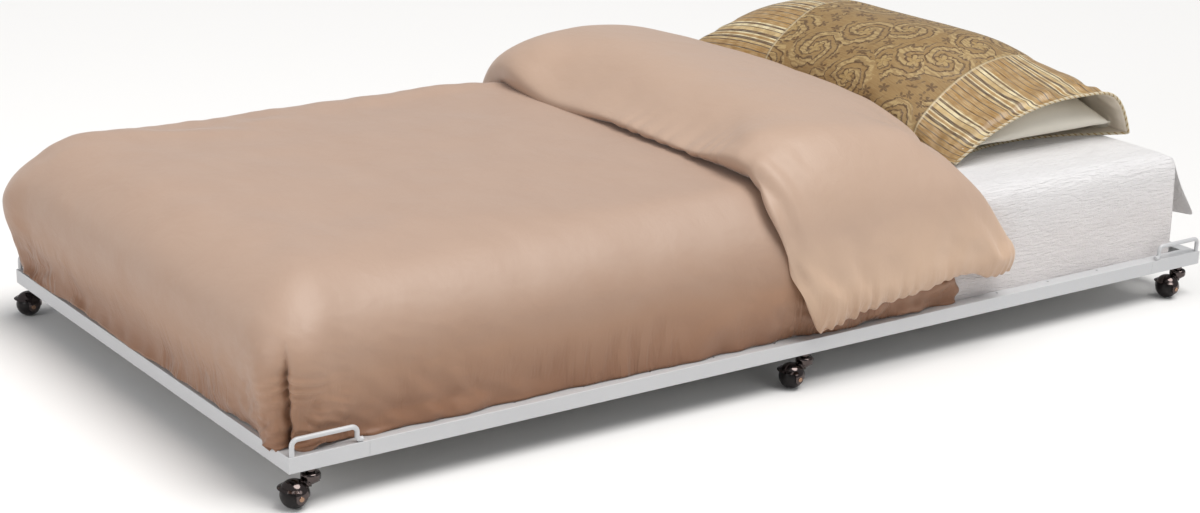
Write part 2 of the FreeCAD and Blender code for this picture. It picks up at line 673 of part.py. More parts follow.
def block(name, lows, highs):
    """Box between two corners given as expressions."""
    sizes = [f"({high}) - ({low})" for low, high in zip(lows, highs)]
    item = doc.addObject("Part::Box", name)
    bind(item, Length=sizes[0], Width=sizes[1], Height=sizes[2])
    for axis, low in zip("xyz", lows):
        item.setExpression(f"Placement.Base.{axis}", low)
    return item


def upright(edge):
    box = edge.BoundBox
    return box.XLength < 0.01 and box.YLength < 0.01


def notBottom(edge):
    """Any edge that isn't on the lowest face, told by its two ends' heights."""
    heights = [vertex.Z for vertex in edge.Vertexes]
    return max(heights) > railTop + 40


def mattressBlock(name, grow, floor):
    """Mattress outline grown by a cloth's thickness, from a given bottom level."""
    half = f"Dims.mattressLength / 2 + {grow}"
    side = f"Dims.mattressWidth / 2 + {grow}"
    return block(name, (f"Dims.mattressShift - ({half})", f"-({side})", floor),
                 (f"Dims.mattressShift + {half}", side, f"{bedLevel} + {grow}"))


restLevel = "Dims.floorToRail + Dims.railFace"
bedLevel = "Dims.floorToRail + Dims.railFace + Dims.mattressHeight"

mattress = roundEdges("MattressRound", mattressBlock("MattressBlock", "0", restLevel),
                      dim("mattressEdge"), notBottom)
keep(mattress, "mattress")

cloth = roundEdges("SheetOuter", mattressBlock("SheetBlock", "Dims.sheetThick", restLevel),
                   dim("mattressEdge") + dim("sheetThick"), notBottom)
under = roundEdges("SheetInner", mattressBlock("SheetVoid", "0", f"{restLevel} - 5"),
                   dim("mattressEdge"), notBottom)
keep(cut("FittedSheet", cloth, under), "fitted_sheet")

gap = "Dims.sheetThick + 0.3"
duvetBlock = block("DuvetBlock", ("-Dims.duvetFoot", "-Dims.duvetHalfWidth", f"{restLevel} + 0.3"),
                   ("Dims.duvetHead", "Dims.duvetHalfWidth", "Dims.duvetTop"))
duvetBody = roundEdges("DuvetRound", duvetBlock, dim("duvetEdge") - 10,
                       lambda edge: notBottom(edge) and edge.BoundBox.XMin < 0)
foldBlock = block("FoldBlock", ("Dims.foldStart", "-Dims.foldHalfWidth", f"{restLevel} + 2"),
                  ("Dims.foldEnd", "Dims.foldHalfWidth", "Dims.foldTop"))
fold = roundEdges("FoldRound", foldBlock, dim("duvetEdge"), lambda edge: not upright(edge)
                  and edge.BoundBox.ZMin > dim("foldTop") - 0.01)
duvetVoid = mattressBlock("DuvetVoid", gap, f"{restLevel} - 5")
duvet = cut("Duvet", fuse("DuvetBlank", [duvetBody, fold]), duvetVoid)
keep(duvet, "duvet")


def pillowBlock(name, shrink, reach):
    """Pillow outline drawn in by a wall, its near end carried out by a reach."""
    halfX = f"(Dims.pillowWidth / 2 - {shrink})"
    halfY = f"(Dims.pillowLength / 2 - {shrink})"
    base = f"{bedLevel} + Dims.sheetThick + 0.3"
    return block(name, (f"Dims.pillowX - {halfX}", f"Dims.pillowY - {halfY} - {reach}",
                        f"{base} + {shrink}"),
                 (f"Dims.pillowX + {halfX}", f"Dims.pillowY + {halfY}",
                  f"{base} + Dims.pillowThick - {shrink}"))


def lengthways(edge):
    return edge.BoundBox.YLength > 100


case = roundEdges("ShamOuter", pillowBlock("ShamBlock", "0", "0"), dim("pillowEdge"), lengthways)
pocketVoid = roundEdges("ShamInner", pillowBlock("ShamVoid", "Dims.shamWall", "20"),
                        dim("pillowEdge") - dim("shamWall"), lengthways)
keep(cut("Sham", case, pocketVoid), "pillow_sham")
filling = roundEdges("PillowRound", pillowBlock("PillowFill", "(Dims.shamWall + 0.3)", "0"),
                     dim("pillowEdge") - dim("shamWall"), lengthways)
keep(filling, "pillow_insert")

doc.recompute()
for item in doc.Objects:
    if "Invalid" in item.State or "Error" in item.State:
        raise RuntimeError(f"{item.Name} failed: {item.State}")
for item in parts:
    if item.Shape.isNull() or not item.Shape.isValid():
        raise RuntimeError(f"{item.Label} has no valid shape")

os.makedirs("parts", exist_ok=True)
for item in parts:
    item.Shape.exportStep(f"parts/{item.Label}.step")
print(f"{len(parts)} sub-parts written")
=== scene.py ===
import json
import math

import bmesh
import bpy
from mathutils import Matrix, Vector, noise


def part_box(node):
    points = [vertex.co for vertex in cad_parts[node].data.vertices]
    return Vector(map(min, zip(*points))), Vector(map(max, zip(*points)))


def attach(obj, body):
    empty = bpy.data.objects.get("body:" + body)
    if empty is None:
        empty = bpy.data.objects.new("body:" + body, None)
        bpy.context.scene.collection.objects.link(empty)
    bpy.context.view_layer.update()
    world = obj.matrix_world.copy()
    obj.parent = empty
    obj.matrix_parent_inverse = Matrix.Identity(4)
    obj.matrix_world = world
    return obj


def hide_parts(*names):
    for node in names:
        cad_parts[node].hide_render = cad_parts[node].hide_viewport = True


# Trundle bed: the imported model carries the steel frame, the spring deck and the casters.
# This script gives them their finishes and makes the bedding on top of them.

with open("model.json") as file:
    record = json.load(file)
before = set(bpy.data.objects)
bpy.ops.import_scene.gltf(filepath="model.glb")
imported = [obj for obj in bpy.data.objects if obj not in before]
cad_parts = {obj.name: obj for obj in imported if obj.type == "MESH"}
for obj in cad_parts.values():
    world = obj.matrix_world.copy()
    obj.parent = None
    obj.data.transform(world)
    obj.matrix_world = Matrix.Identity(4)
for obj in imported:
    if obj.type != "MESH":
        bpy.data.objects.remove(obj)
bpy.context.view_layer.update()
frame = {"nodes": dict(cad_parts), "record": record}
scene = bpy.context.scene
print("frame loaded,", len(frame["nodes"]), "nodes")


# Stage: camera and soft light

cameraSetup = {
    "place": (-2.3075, -3.0555, 1.2996),
    "azimuth": -36.232,  # degrees, 0 looks along +Y
    "elevation": 17.596,
    "roll": 1.852,
    "lens": 67.75,
}


def addCamera(setup):
    azimuth = math.radians(setup["azimuth"])
    elevation = math.radians(setup["elevation"])
    roll = math.radians(setup["roll"])
    level = math.cos(elevation)
    back = Vector((math.sin(azimuth) * level, -math.cos(azimuth) * level, math.sin(elevation)))
    right = Vector((math.cos(azimuth), math.sin(azimuth), 0))
    up = back.cross(right)
    across = right * math.cos(roll) + up * math.sin(roll)
    upright = up * math.cos(roll) - right * math.sin(roll)
    camera = bpy.data.objects.new("camera", bpy.data.cameras.new("camera"))
    camera.data.lens = setup["lens"]
    camera.data.sensor_width = 36
    turn = Matrix((across, upright, back)).transposed().to_4x4()
    camera.matrix_world = Matrix.Translation(setup["place"]) @ turn
    scene.collection.objects.link(camera)
    scene.camera = camera


lightSetup = {
    # name: (place, aim, size, watts, colour)
    "overheadBox": ((-0.6, 0.2, 2.6), (0, 0, 0.2), 1.6, 10, (1, 0.99, 0.97)),
    "nearBox": ((0.6, -3.4, 1.5), (0.2, 0, 0.1), 1.4, 10, (1, 0.99, 0.97)),
    "footBox": ((-3.4, -0.6, 1.3), (-0.6, 0, 0.1), 1.2, 22, (1, 0.99, 0.98)),
}
sunSetup = {"from": (0.22, -0.26, 1.0), "strength": 2.5, "spread": 40, "sky": 0.36}


def addLights(setup, sun):
    for name, (place, aim, size, watts, colour) in setup.items():
        lamp = bpy.data.lights.new(name, "AREA")
        lamp.shape = "DISK"
        lamp.size = size
        lamp.energy = watts
        lamp.color = colour
        item = bpy.data.objects.new(name, lamp)
        item.location = place
        item.rotation_mode = "QUATERNION"
        item.rotation_quaternion = (Vector(aim) - Vector(place)).to_track_quat("-Z", "Y")
        scene.collection.objects.link(item)
    lamp = bpy.data.lights.new("softKey", "SUN")
    lamp.energy = sun["strength"]
    lamp.angle = math.radians(sun["spread"])
    lamp.color = (1, 0.985, 0.96)
    item = bpy.data.objects.new("softKey", lamp)
    item.rotation_mode = "QUATERNION"
    item.rotation_quaternion = (-Vector(sun["from"])).to_track_quat("-Z", "Y")
    scene.collection.objects.link(item)
    world = bpy.data.worlds.new("studio")
    world.use_nodes = True
    glow = world.node_tree.nodes["Background"]
    glow.inputs["Color"].default_value = (0.95, 0.97, 1, 1)
    glow.inputs["Strength"].default_value = sun["sky"]
    scene.world = world
    scene.view_settings.view_transform = "Standard"


# Material tools: a wire is one socket of a node tree, and arithmetic on it adds Math nodes

class Wire:
    def __init__(self, tree, socket):
        self.tree = tree
        self.socket = socket

    def math(self, operation, *others):
        node = self.tree.nodes.new("ShaderNodeMath")
        node.operation = operation
        for place, term in enumerate((self, *others)):
            feed(self.tree, node.inputs[place], term)
        return Wire(self.tree, node.outputs[0])

    def __add__(self, other):
        return self.math("ADD", other)

    def __sub__(self, other):
        return self.math("SUBTRACT", other)

    def __mul__(self, other):
        return self.math("MULTIPLY", other)

    def __truediv__(self, other):
        return self.math("DIVIDE", other)

    def __rsub__(self, other):
        return self * -1 + other

    __radd__ = __add__
    __rmul__ = __mul__

    def clamped(self):
        node = self.tree.nodes.new("ShaderNodeClamp")
        feed(self.tree, node.inputs[0], self)
        return Wire(self.tree, node.outputs[0])

    def above(self, edge, soft=0.05):
        # 0 below the edge, 1 above it, with a soft step between
        return ((self - (edge - soft)) / (2 * soft)).clamped()

    def sine(self):
        return self.math("SINE")

    def size(self):
        return self.math("ABSOLUTE")

    def separate(self, axis):
        node = self.tree.nodes.new("ShaderNodeSeparateXYZ")
        feed(self.tree, node.inputs[0], self)
        return Wire(self.tree, node.outputs[axis])


def feed(tree, socket, value):
    if isinstance(value, Wire):
        tree.links.new(value.socket, socket)
    elif hasattr(value, "__len__") and len(value) == 3 and socket.type == "RGBA":
        socket.default_value = (*value, 1)
    else:
        socket.default_value = value


class Finish:
    # one procedural material, built around its Principled shader
    def __init__(self, name):
        self.material = bpy.data.materials.new(name)
        self.material.use_nodes = True
        self.tree = self.material.node_tree
        self.shader = self.tree.nodes["Principled BSDF"]

    def node(self, kind, settings=None, sockets=None, output=0):
        node = self.tree.nodes.new("ShaderNode" + kind)
        for name, value in (settings or {}).items():
            if name == "stops":
                fillRamp(node.color_ramp, value)
            else:
                setattr(node, name, value)
        for name, value in (sockets or {}).items():
            feed(self.tree, node.inputs[name], value)
        return Wire(self.tree, node.outputs[output])

    def place(self, output="Object", scale=(1, 1, 1), turn=(0, 0, 0)):
        coords = self.node("TexCoord", output=output)
        return self.node("Mapping", {}, {"Vector": coords, "Scale": scale, "Rotation": turn})

    def noise(self, place, scale, detail=2.0, rough=0.5, warp=0.0):
        sockets = {"Vector": place, "Scale": scale, "Detail": detail, "Roughness": rough,
                   "Distortion": warp}
        return self.node("TexNoise", {}, sockets)

    def mix(self, mask, first, second):
        node = self.tree.nodes.new("ShaderNodeMix")
        node.data_type = "RGBA"
        feed(self.tree, node.inputs[0], mask)
        feed(self.tree, node.inputs[6], first)
        feed(self.tree, node.inputs[7], second)
        return Wire(self.tree, node.outputs[2])

    def ramp(self, value, *stops):
        return self.node("ValToRGB", {"stops": stops}, {"Fac": value})

    def bump(self, height, depth, strength=1.0):
        sockets = {"Height": height, "Distance": depth, "Strength": strength}
        return self.node("Bump", {}, sockets)

    def set(self, sockets):
        for name, value in sockets.items():
            feed(self.tree, self.shader.inputs[name], value)
        return self.material


def fillRamp(ramp, stops):
    while len(ramp.elements) < len(stops):
        ramp.elements.new(1)
    for element, (position, colour) in zip(ramp.elements, stops):
        element.position = position
        element.color = (*colour, 1)


# Metal and plastic finishes

def framePaint():
    paint = Finish("silver_white_powder_coat")
    place = paint.place()
    grain = paint.noise(place, 900, 2)
    cloudy = paint.noise(place, 7, 3)
    colour = paint.mix(cloudy, (0.54, 0.545, 0.56), (0.60, 0.605, 0.615))
    return paint.set({
        "Base Color": colour, "Roughness": 0.34 + 0.14 * grain, "Metallic": 0.12,
        "Normal": paint.bump(grain, 0.0004, 0.5),
    })


def darkChrome(name, colour, rough):
    # bright metal with slightly darker, duller smears
    chrome = Finish(name)
    place = chrome.place()
    smear = chrome.noise(place, 60, 3)
    return chrome.set({
        "Base Color": chrome.mix(smear, colour, [c * 0.8 for c in colour]), "Metallic": 1,
        "Roughness": rough + 0.06 * smear,
    })


def blackBall():
    plastic = Finish("black_moulded_ball")
    speck = plastic.noise(plastic.place(), 400, 2)
    return plastic.set({
        "Base Color": plastic.mix(speck, (0.008, 0.006, 0.006), (0.014, 0.011, 0.011)),
        "Roughness": 0.24 + 0.12 * speck, "Specular IOR Level": 0.22,
    })


def drawnSteel(name, colour, rough):
    # wire and strip with fine drawing marks along it
    steel = Finish(name)
    streak = steel.noise(steel.place(scale=(40, 40, 400)), 6, 3)
    return steel.set({
        "Base Color": steel.mix(streak, colour, [c * 0.75 for c in colour]), "Metallic": 1,
        "Roughness": rough + 0.15 * streak, "Normal": steel.bump(streak, 0.0002, 0.4),
    })


def dressFrame():
    finishes = {
        "frame_paint": framePaint(),
        "black_chrome": darkChrome("dark_antique_chrome", (0.105, 0.085, 0.082), 0.08),
        "antique_rivet": darkChrome("spun_rivet_head", (0.40, 0.25, 0.17), 0.2),
        "black_ball": blackBall(),
        "spring_steel": drawnSteel("drawn_spring_wire", (0.5, 0.51, 0.53), 0.25),
        "zinc_steel": drawnSteel("zinc_plated_steel", (0.6, 0.6, 0.58), 0.3),
    }
    slots = {item["node"]: item["material_slot"] for item in frame["record"]["subparts"]}
    for name, item in frame["nodes"].items():
        finish = finishes.get(slots[name])
        if finish is None:
            continue
        item.data.materials.clear()
        item.data.materials.append(finish)
        for face in item.data.polygons:
            face.material_index = 0


addCamera(cameraSetup)
addLights(lightSetup, sunSetup)
dressFrame()
print("camera, light and metal finishes set")


# Cloth finishes

def cottonTicking():
    cloth = Finish("mattress_ticking")
    place = cloth.place()
    weave = cloth.noise(place, 700, 2)
    stripe = (place.separate(1) * 260).sine().above(0.75, 0.1)
    return cloth.set({
        "Base Color": cloth.mix(stripe * 0.5, (0.70, 0.69, 0.65), (0.45, 0.50, 0.56)),
        "Roughness": 0.8 + 0.1 * weave, "Normal": cloth.bump(weave, 0.0006, 0.6),
    })


def crinkledCottonPaintedLight():
    # white cover cloth with fine level crinkles, and painted light: lighter on top of the
    # mattress, painted shade down its sides
    cloth = Finish("white_crinkled_cotton")
    place = cloth.place(scale=(0.16, 1, 1))
    crinkle = cloth.noise(place, 230, 3, 0.6, 0.4)
    plain = cloth.place()
    weave = cloth.noise(plain, 900, 2)
    slub = cloth.noise(cloth.place(scale=(0.3, 1, 0.5)), 30, 3)
    height = crinkle * 0.8 + weave * 0.2 + slub * 0.5
    # painted light: paler colour on top of the mattress, darker painted shade where the cloth
    # hangs down the sides
    onTop = plain.separate(2).above(0.22, 0.06)
    colour = cloth.mix(onTop, (0.76, 0.715, 0.705), (0.88, 0.875, 0.885))
    return cloth.set({
        "Base Color": cloth.mix(slub * 0.5, colour, (0.70, 0.675, 0.68)),
        "Roughness": 0.82 + 0.1 * weave, "Sheen Weight": 0.25,
        "Normal": cloth.bump(height, 0.0060, 1.0),
    })


def tanSateenPaintedShading(name, hem, side, top):
    # painted light and shade: a colour ramp by height, paler on top as a painted sheen where it
    # faces the light, browner and deeper towards the hem as painted shade
    cloth = Finish(name)
    place = cloth.place()
    cloudy = cloth.noise(place, 5, 3, 0.55, 0.6)
    crease = cloth.noise(cloth.place(scale=(1, 0.6, 1)), 18, 4, 0.5, 0.25)
    weave = cloth.noise(place, 1100, 2)
    level = place.separate(2)
    height = (level - 0.075) / 0.2 + (cloudy - 0.5) * 0.35
    # painted light and shade by height: the hem colour is painted shade, the top colour a painted
    # sheen
    colour = cloth.ramp(height.clamped(), (0, hem), (0.48, side), (0.95, top))
    pull = cloth.noise(cloth.place(scale=(1, 1, 0.2), turn=(0.25, 0.5, 0)), 34, 3, 0.55, 0.3)
    nearHem = 1 - level.above(0.13, 0.05)
    pucker = pull.above(0.54, 0.11) * nearHem * cloth.noise(place, 7, 1).above(0.46, 0.08)
    relief = crease * 0.9 + weave * 0.04 - pucker * 1.5
    return cloth.set({
        # painted shade: the crease and pucker masks darken the colour towards the hem colour
        "Base Color": cloth.mix(crease * 0.16 + pucker * 0.75, colour, hem),
        "Roughness": 0.46 + 0.1 * weave, "Sheen Weight": 0.30, "Sheen Roughness": 0.35,
        "Sheen Tint": (1, 0.95, 0.92, 1), "Normal": cloth.bump(relief, 0.006, 0.5),
    })


# Soft goods tools

def gridBox(low, high, cells):
    # box between two corners, its faces cut into a regular grid
    shape = bmesh.new()
    bmesh.ops.create_cube(shape, size=1)
    bmesh.ops.scale(shape, vec=Vector(high) - Vector(low), verts=shape.verts)
    bmesh.ops.translate(shape, vec=(Vector(low) + Vector(high)) / 2, verts=shape.verts)
    for axis, count in enumerate(cells):
        span = high[axis] - low[axis]
        lines = [edge for edge in shape.edges
                 if abs(abs(edge.verts[0].co[axis] - edge.verts[1].co[axis]) - span) < 1e-5]
        bmesh.ops.subdivide_edges(shape, edges=lines, cuts=count - 1, use_grid_fill=True)
    return shape


def tubeGrid(segments, rows, ends):
    # open or closed tube along Z from -0.5 to 0.5, its wall cut into a regular grid
    shape = bmesh.new()
    bmesh.ops.create_cone(shape, cap_ends=ends, segments=segments, radius1=1, radius2=1, depth=1)
    sides = [edge for edge in shape.edges if abs(edge.verts[0].co.z - edge.verts[1].co.z) > 0.5]
    bmesh.ops.subdivide_edges(shape, edges=sides, cuts=rows - 1, use_grid_fill=True)
    return shape


def dropFaces(shape, test):
    faces = [face for face in shape.faces if test(face)]
    bmesh.ops.delete(shape, geom=faces, context="FACES")


def roundCorner(point, low, high, radius):
    # pulls a point of the box onto the same box with rounded edges
    core = Vector([min(max(c, a + radius), b - radius) for c, a, b in zip(point, low, high)])
    away = point - core
    if away.length < 1e-9:
        return point
    return core + away.normalized() * radius


def smoothStep(value, start, end):
    share = min(max((value - start) / (end - start), 0), 1)
    return share * share * (3 - 2 * share)


def curveValue(position, stops):
    # smooth curve through (position, value) stops
    last = len(stops) - 1
    index = 0
    while index < last - 1 and position > stops[index + 1][0]:
        index += 1

    def slope(number):
        before = stops[max(number - 1, 0)]
        after = stops[min(number + 1, last)]
        return (after[1] - before[1]) / (after[0] - before[0])

    start, first = stops[index]
    end, second = stops[index + 1]
    gap = end - start
    t = min(max((position - start) / gap, 0), 1)
    rise = first * (1 + 2 * t) * (1 - t) ** 2 + second * t * t * (3 - 2 * t)
    return rise + gap * (slope(index) * t * (1 - t) ** 2 - slope(index + 1) * t * t * (1 - t))


def ripple(point, scale, seed):
    # smooth wandering value between about -1 and 1
    return noise.noise(Vector(point) * scale + Vector((seed, seed * 0.7, -seed)))


def waves(point, layers):
    # sum of wandering layers, each a depth, a scale and a seed
    return sum(depth * ripple(point, scale, seed) for depth, scale, seed in layers)


def bell(value, width):
    # 1 at nothing, falling off smoothly on both sides
    return math.exp(-(value / width) ** 2)


def fadeOut(value, width):
    # 1 up to nothing, falling off beyond it
    return math.exp(-max(value, 0) / width)


def flatX(point):
    # place along the hem, drifting a little with height
    return Vector((point.x, point.z * 0.2, 0))


def piece(shape, name, material, body="root"):
    mesh = bpy.data.meshes.new(name)
    shape.to_mesh(mesh)
    shape.free()
    for face in mesh.polygons:
        face.use_smooth = True
    item = bpy.data.objects.new(name, mesh)
    scene.collection.objects.link(item)
    mesh.materials.append(material)
    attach(item, body)
    return item


clothSetup = {"quality": 6, "mass": 0.3, "stretch": 18, "shear": 8}


def puff(item, held, setup):
    # inflates the cloth between its held points, and limits how far it may go
    mesh = item.data
    pins = item.vertex_groups.new(name="pins")
    for vertex in mesh.vertices:
        pins.add([vertex.index], held(vertex.co), "REPLACE")
    rest = [vertex.co.copy() for vertex in mesh.vertices]
    cloth = item.modifiers.new("Cloth", "CLOTH")
    settings = cloth.settings
    settings.quality = clothSetup["quality"]
    settings.mass = clothSetup["mass"]
    settings.tension_stiffness = clothSetup["stretch"]
    settings.compression_stiffness = clothSetup["stretch"]
    settings.shear_stiffness = clothSetup["shear"]
    settings.bending_stiffness = setup["stiffness"]
    settings.use_pressure = True
    settings.uniform_pressure_force = setup["pressure"]
    settings.vertex_group_mass = "pins"
    settings.shrink_min = -setup["spare"]
    settings.effector_weights.gravity = 0
    cloth.point_cache.frame_start = 1
    cloth.point_cache.frame_end = setup["frames"]
    for number in range(1, setup["frames"] + 1):
        scene.frame_set(number)
    posed = item.evaluated_get(bpy.context.evaluated_depsgraph_get())
    swollen = [vertex.co.copy() for vertex in posed.data.vertices]
    item.modifiers.remove(cloth)
    item.vertex_groups.remove(pins)
    scene.frame_set(1)
    for vertex, start, end in zip(mesh.vertices, rest, swollen):
        move = end - start
        if move.length > setup["cap"]:
            move *= setup["cap"] / move.length
        vertex.co = start + move
    mesh.update()


def reshape(item, move):
    # moves every point of a piece by a function of its place and its normal
    mesh = item.data
    moves = [move(vertex.co, vertex.normal) for vertex in mesh.vertices]
    for vertex, change in zip(mesh.vertices, moves):
        vertex.co += change
    mesh.update()


def refine(item, levels, thickness=0.0):
    # smooths a piece, and gives an open cloth its thickness inwards
    for kind in ("SUBSURF", "SOLIDIFY"):
        if kind == "SOLIDIFY" and not thickness:
            continue
        modifier = item.modifiers.new(kind.title(), kind)
        if kind == "SUBSURF":
            modifier.levels = levels
            modifier.render_levels = levels
        else:
            modifier.thickness = thickness
            modifier.offset = -1
    return item


def cutFiner(item, chosen):
    # halves the cloth's grid where it has to fold sharply
    shape = bmesh.new()
    shape.from_mesh(item.data)
    edges = [edge for edge in shape.edges if all(chosen(vertex.co) for vertex in edge.verts)]
    bmesh.ops.subdivide_edges(shape, edges=edges, cuts=1, use_grid_fill=True, smooth=0.5)
    shape.to_mesh(item.data)
    shape.free()
    for face in item.data.polygons:
        face.use_smooth = True


def baked(item):
    # puts the modifiers into the mesh
    graph = bpy.context.evaluated_depsgraph_get()
    mesh = bpy.data.meshes.new_from_object(item.evaluated_get(graph))
    old = item.data
    item.modifiers.clear()
    item.data = mesh
    mesh.name = old.name + "_mesh"
    return item


mattressLow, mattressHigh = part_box("mattress")
duvetLow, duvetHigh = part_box("duvet")
flangeTop = mattressLow.z
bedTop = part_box("fitted_sheet")[1].z


# Mattress: a quilted foam core in ticking, mostly under its cover

mattressSetup = {"edge": 0.026, "cells": (60, 32, 7), "quilt": 0.11, "dent": 0.0022, "panel": 0.08}


def addMattress(setup):
    shape = gridBox(mattressLow, mattressHigh, setup["cells"])
    middle = (mattressLow.z + mattressHigh.z) / 2
    wave = math.pi / setup["quilt"]
    for vertex in shape.verts:
        rounded = roundCorner(vertex.co, mattressLow, mattressHigh, setup["edge"])
        dent = abs(math.sin(rounded.x * wave) * math.sin(rounded.y * wave)) ** 0.5
        if abs(vertex.co.z - middle) > setup["panel"]:
            rounded.z -= math.copysign(setup["dent"], vertex.co.z - middle) * (1 - dent)
        vertex.co = rounded
    item = piece(shape, "mattress_core", cottonTicking())
    refine(item, 1)
    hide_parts("mattress")
    return item


# Duvet: the lower layer lies on the mattress and hangs to the frame, the turned-back end
# lies on top of it

duvetSetup = {
    "cells": (74, 52, 14), "edge": 0.090, "hemCorner": 0.022, "wall": 0.014, "top": 0.301,
    "inset": 0.0165, "footBulge": 0.030, "sideBulge": 0.010, "cornerBulge": 0.026,
    "crown": 0.018, "shoulder": 0.026,
    "endX": 0.39,  # where its top layer stops under the turned-back end
    "slow": [(0.0045, 5.0, 3), (0.0018, 13, 9)],
    "puff": {"pressure": 3.0, "frames": 18, "cap": 0.010, "stiffness": 0.6, "spare": 0.01},
}

creaseSetup = {
    "top": 0.25, "fade": 0.08, "funnel": 0.018, "slit": 0.016, "lobe": 0.010, "gather": 0.0045,
    "wander": 0.005,
}

hemSetup = {
    "height": 0.055, "depth": 0.008, "back": 0.004, "pull": 0.015, "crumple": 0.013,
    "farRow": 0.003,
}


def bodyEnd(point, setup):
    # where the lower layer ends under the turned-back end
    nearSide = smoothStep(-point.y, 0.15, 0.42)
    ragged = 0.014 * ripple((0, 0, point.z), 40, 15)
    low = 1 - smoothStep(point.z, 0.1, 0.2)
    return setup["endX"] - nearSide * (0.095 - (0.065 + ragged) * low)


def cornerCrease(point, normal, corner, setup):
    # deep crease down a corner of the hanging cloth, with a lobe and gathers on each side
    reach = (point.y - corner.y - point.x + corner.x) / 1.25
    below = 1 - smoothStep(point.z, setup["top"] - setup["fade"], setup["top"])
    fromCrease = abs(reach - setup["wander"] * ripple((0, 0, point.z), 38, 12) - 0.003)
    depth = setup["funnel"] * fadeOut(fromCrease, 0.010)
    depth += setup["slit"] * fadeOut(fromCrease, 0.003)
    lobe = setup["lobe"] * bell(abs(reach) - 0.042, 0.028)
    gather = setup["gather"] * fadeOut(abs(reach), 0.022)
    gather *= math.sin(point.z * 260 + 3 * math.sin(point.z * 70) + abs(reach) * 60)
    return below * (Vector((0.7, 0.7, 0)) * depth + normal * (lobe + gather))


def hemWaves(point, normal, bottom, setup):
    # the hem wanders in and out, pulls up into puckers, and crumples under the turned-back end
    hem = 1 - smoothStep(point.z, bottom, bottom + setup["height"])
    flat = Vector((point.x, point.y, 0))
    wander = waves(flat, [(1, 10, 5), (0.7, 26, 6)])
    level = Vector((normal.x, normal.y, 0))
    move = level * hem * (setup["depth"] * wander - setup["back"])
    under = smoothStep(point.x, 0.0, 0.06) * smoothStep(-point.y, 0.42, 0.46)
    under *= 1 - smoothStep(point.z, 0.15, 0.2)
    crumple = ripple((point.x * 0.6, point.y, point.z * 1.6), 34, 7)
    crumple += 0.6 * ripple((point.x * 0.6, point.y, point.z * 1.3), 60, 8)
    slanted = Vector((point.x + point.z * 1.3, point.y + point.z * 1.3, 0))
    radiate = waves(slanted, [(1, 30, 10), (0.6, 62, 11)])
    patchy = smoothStep(ripple(flat, 3.5, 13), -0.35, 0.35)
    fade = math.exp(-(point.z - bottom) / 0.055) * (1 - hem * 0.4)
    farRow = smoothStep(point.y, 0.34, 0.44) * smoothStep(point.z, 0.25, 0.29)
    farRow *= ripple(Vector((point.x, point.y * 0.4, 0)), 30, 14)
    out = setup["crumple"] * under * crumple + setup["pull"] * radiate * patchy * fade
    return move + normal * (out + setup["farRow"] * farRow)


def addDuvetBody(setup, material):
    low = Vector((duvetLow.x - 0.001, duvetLow.y + setup["inset"], flangeTop + 0.0015))
    high = Vector((setup["endX"], duvetHigh.y - setup["inset"], setup["top"]))
    shape = gridBox(low, high, setup["cells"])
    dropFaces(shape, lambda face: face.normal.z < -0.5)
    tall = Vector((0, 0, 0.3))
    for vertex in shape.verts:
        point = vertex.co
        soft = roundCorner(point, low - tall, high, setup["edge"])
        sharp = roundCorner(point, low - tall, high + tall, setup["hemCorner"])
        vertex.co = sharp.lerp(soft, smoothStep(point.z, 0.09, 0.24))
        toEnd = smoothStep(vertex.co.x, 0.0, high.x)
        vertex.co.x += (bodyEnd(vertex.co, setup) - high.x) * toEnd
    item = piece(shape, "duvet_body", material)

    def held(point):
        return 1.0 if point.z < low.z + 0.006 or point.x > 0.25 else 0.0

    puff(item, held, setup["puff"])

    def settle(point, normal):
        # crown on top, full shoulders, a soft bulge in the sides, and slow unevenness
        acrossBed = max(1 - (point.y / high.y) ** 2, 0)
        alongBed = max(1 - abs((point.x + 0.33) / 0.75) ** 3, 0)
        lift = smoothStep(point.z, 0.2, 0.3) * setup["crown"] * (acrossBed * alongBed) ** 0.4
        height = min(max((point.z - low.z) / (high.z - low.z), 0), 1)
        swell = math.sin(math.pi * height ** 1.25) * smoothStep(-point.x, -0.3, 0.0)
        footward = setup["footBulge"] * smoothStep(-normal.x, 0.1, 0.9)
        sideways = setup["sideBulge"] * smoothStep(abs(normal.y), 0.1, 0.9)
        atCorner = setup["cornerBulge"] * min(2.2 * abs(normal.x * normal.y), 1)
        atCorner *= smoothStep(-normal.x, 0, 0.3) * (1 if point.y > 0 else 0.35)
        out = Vector((normal.x, normal.y, 0)) * swell * (footward + sideways + atCorner)
        uneven = waves(point, setup["slow"]) * smoothStep(point.z, low.z, low.z + 0.07)
        shoulder = min(2.2 * max(normal.y, -0.5 * normal.x, 0) * max(normal.z, 0), 1)
        shoulder *= setup["shoulder"] * (1 - smoothStep(point.x, -0.2, 0.1))
        return Vector((0, 0, lift)) + out + normal * (uneven + shoulder)

    reshape(item, settle)
    refine(item, 1)
    baked(item)
    corner = Vector((low.x + 0.006, low.y + 0.006, 0))
    cutFiner(item, lambda point: (point - corner).to_2d().length < 0.10 and point.z < 0.27)
    cutFiner(item, lambda point: (point - corner).to_2d().length < 0.05 and point.z < 0.26)

    def pleat(point, normal):
        crease = cornerCrease(point, normal, corner, creaseSetup)
        return crease + hemWaves(point, normal, low.z, hemSetup)

    reshape(item, pleat)
    refine(item, 1, setup["wall"])
    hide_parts("duvet")
    return item


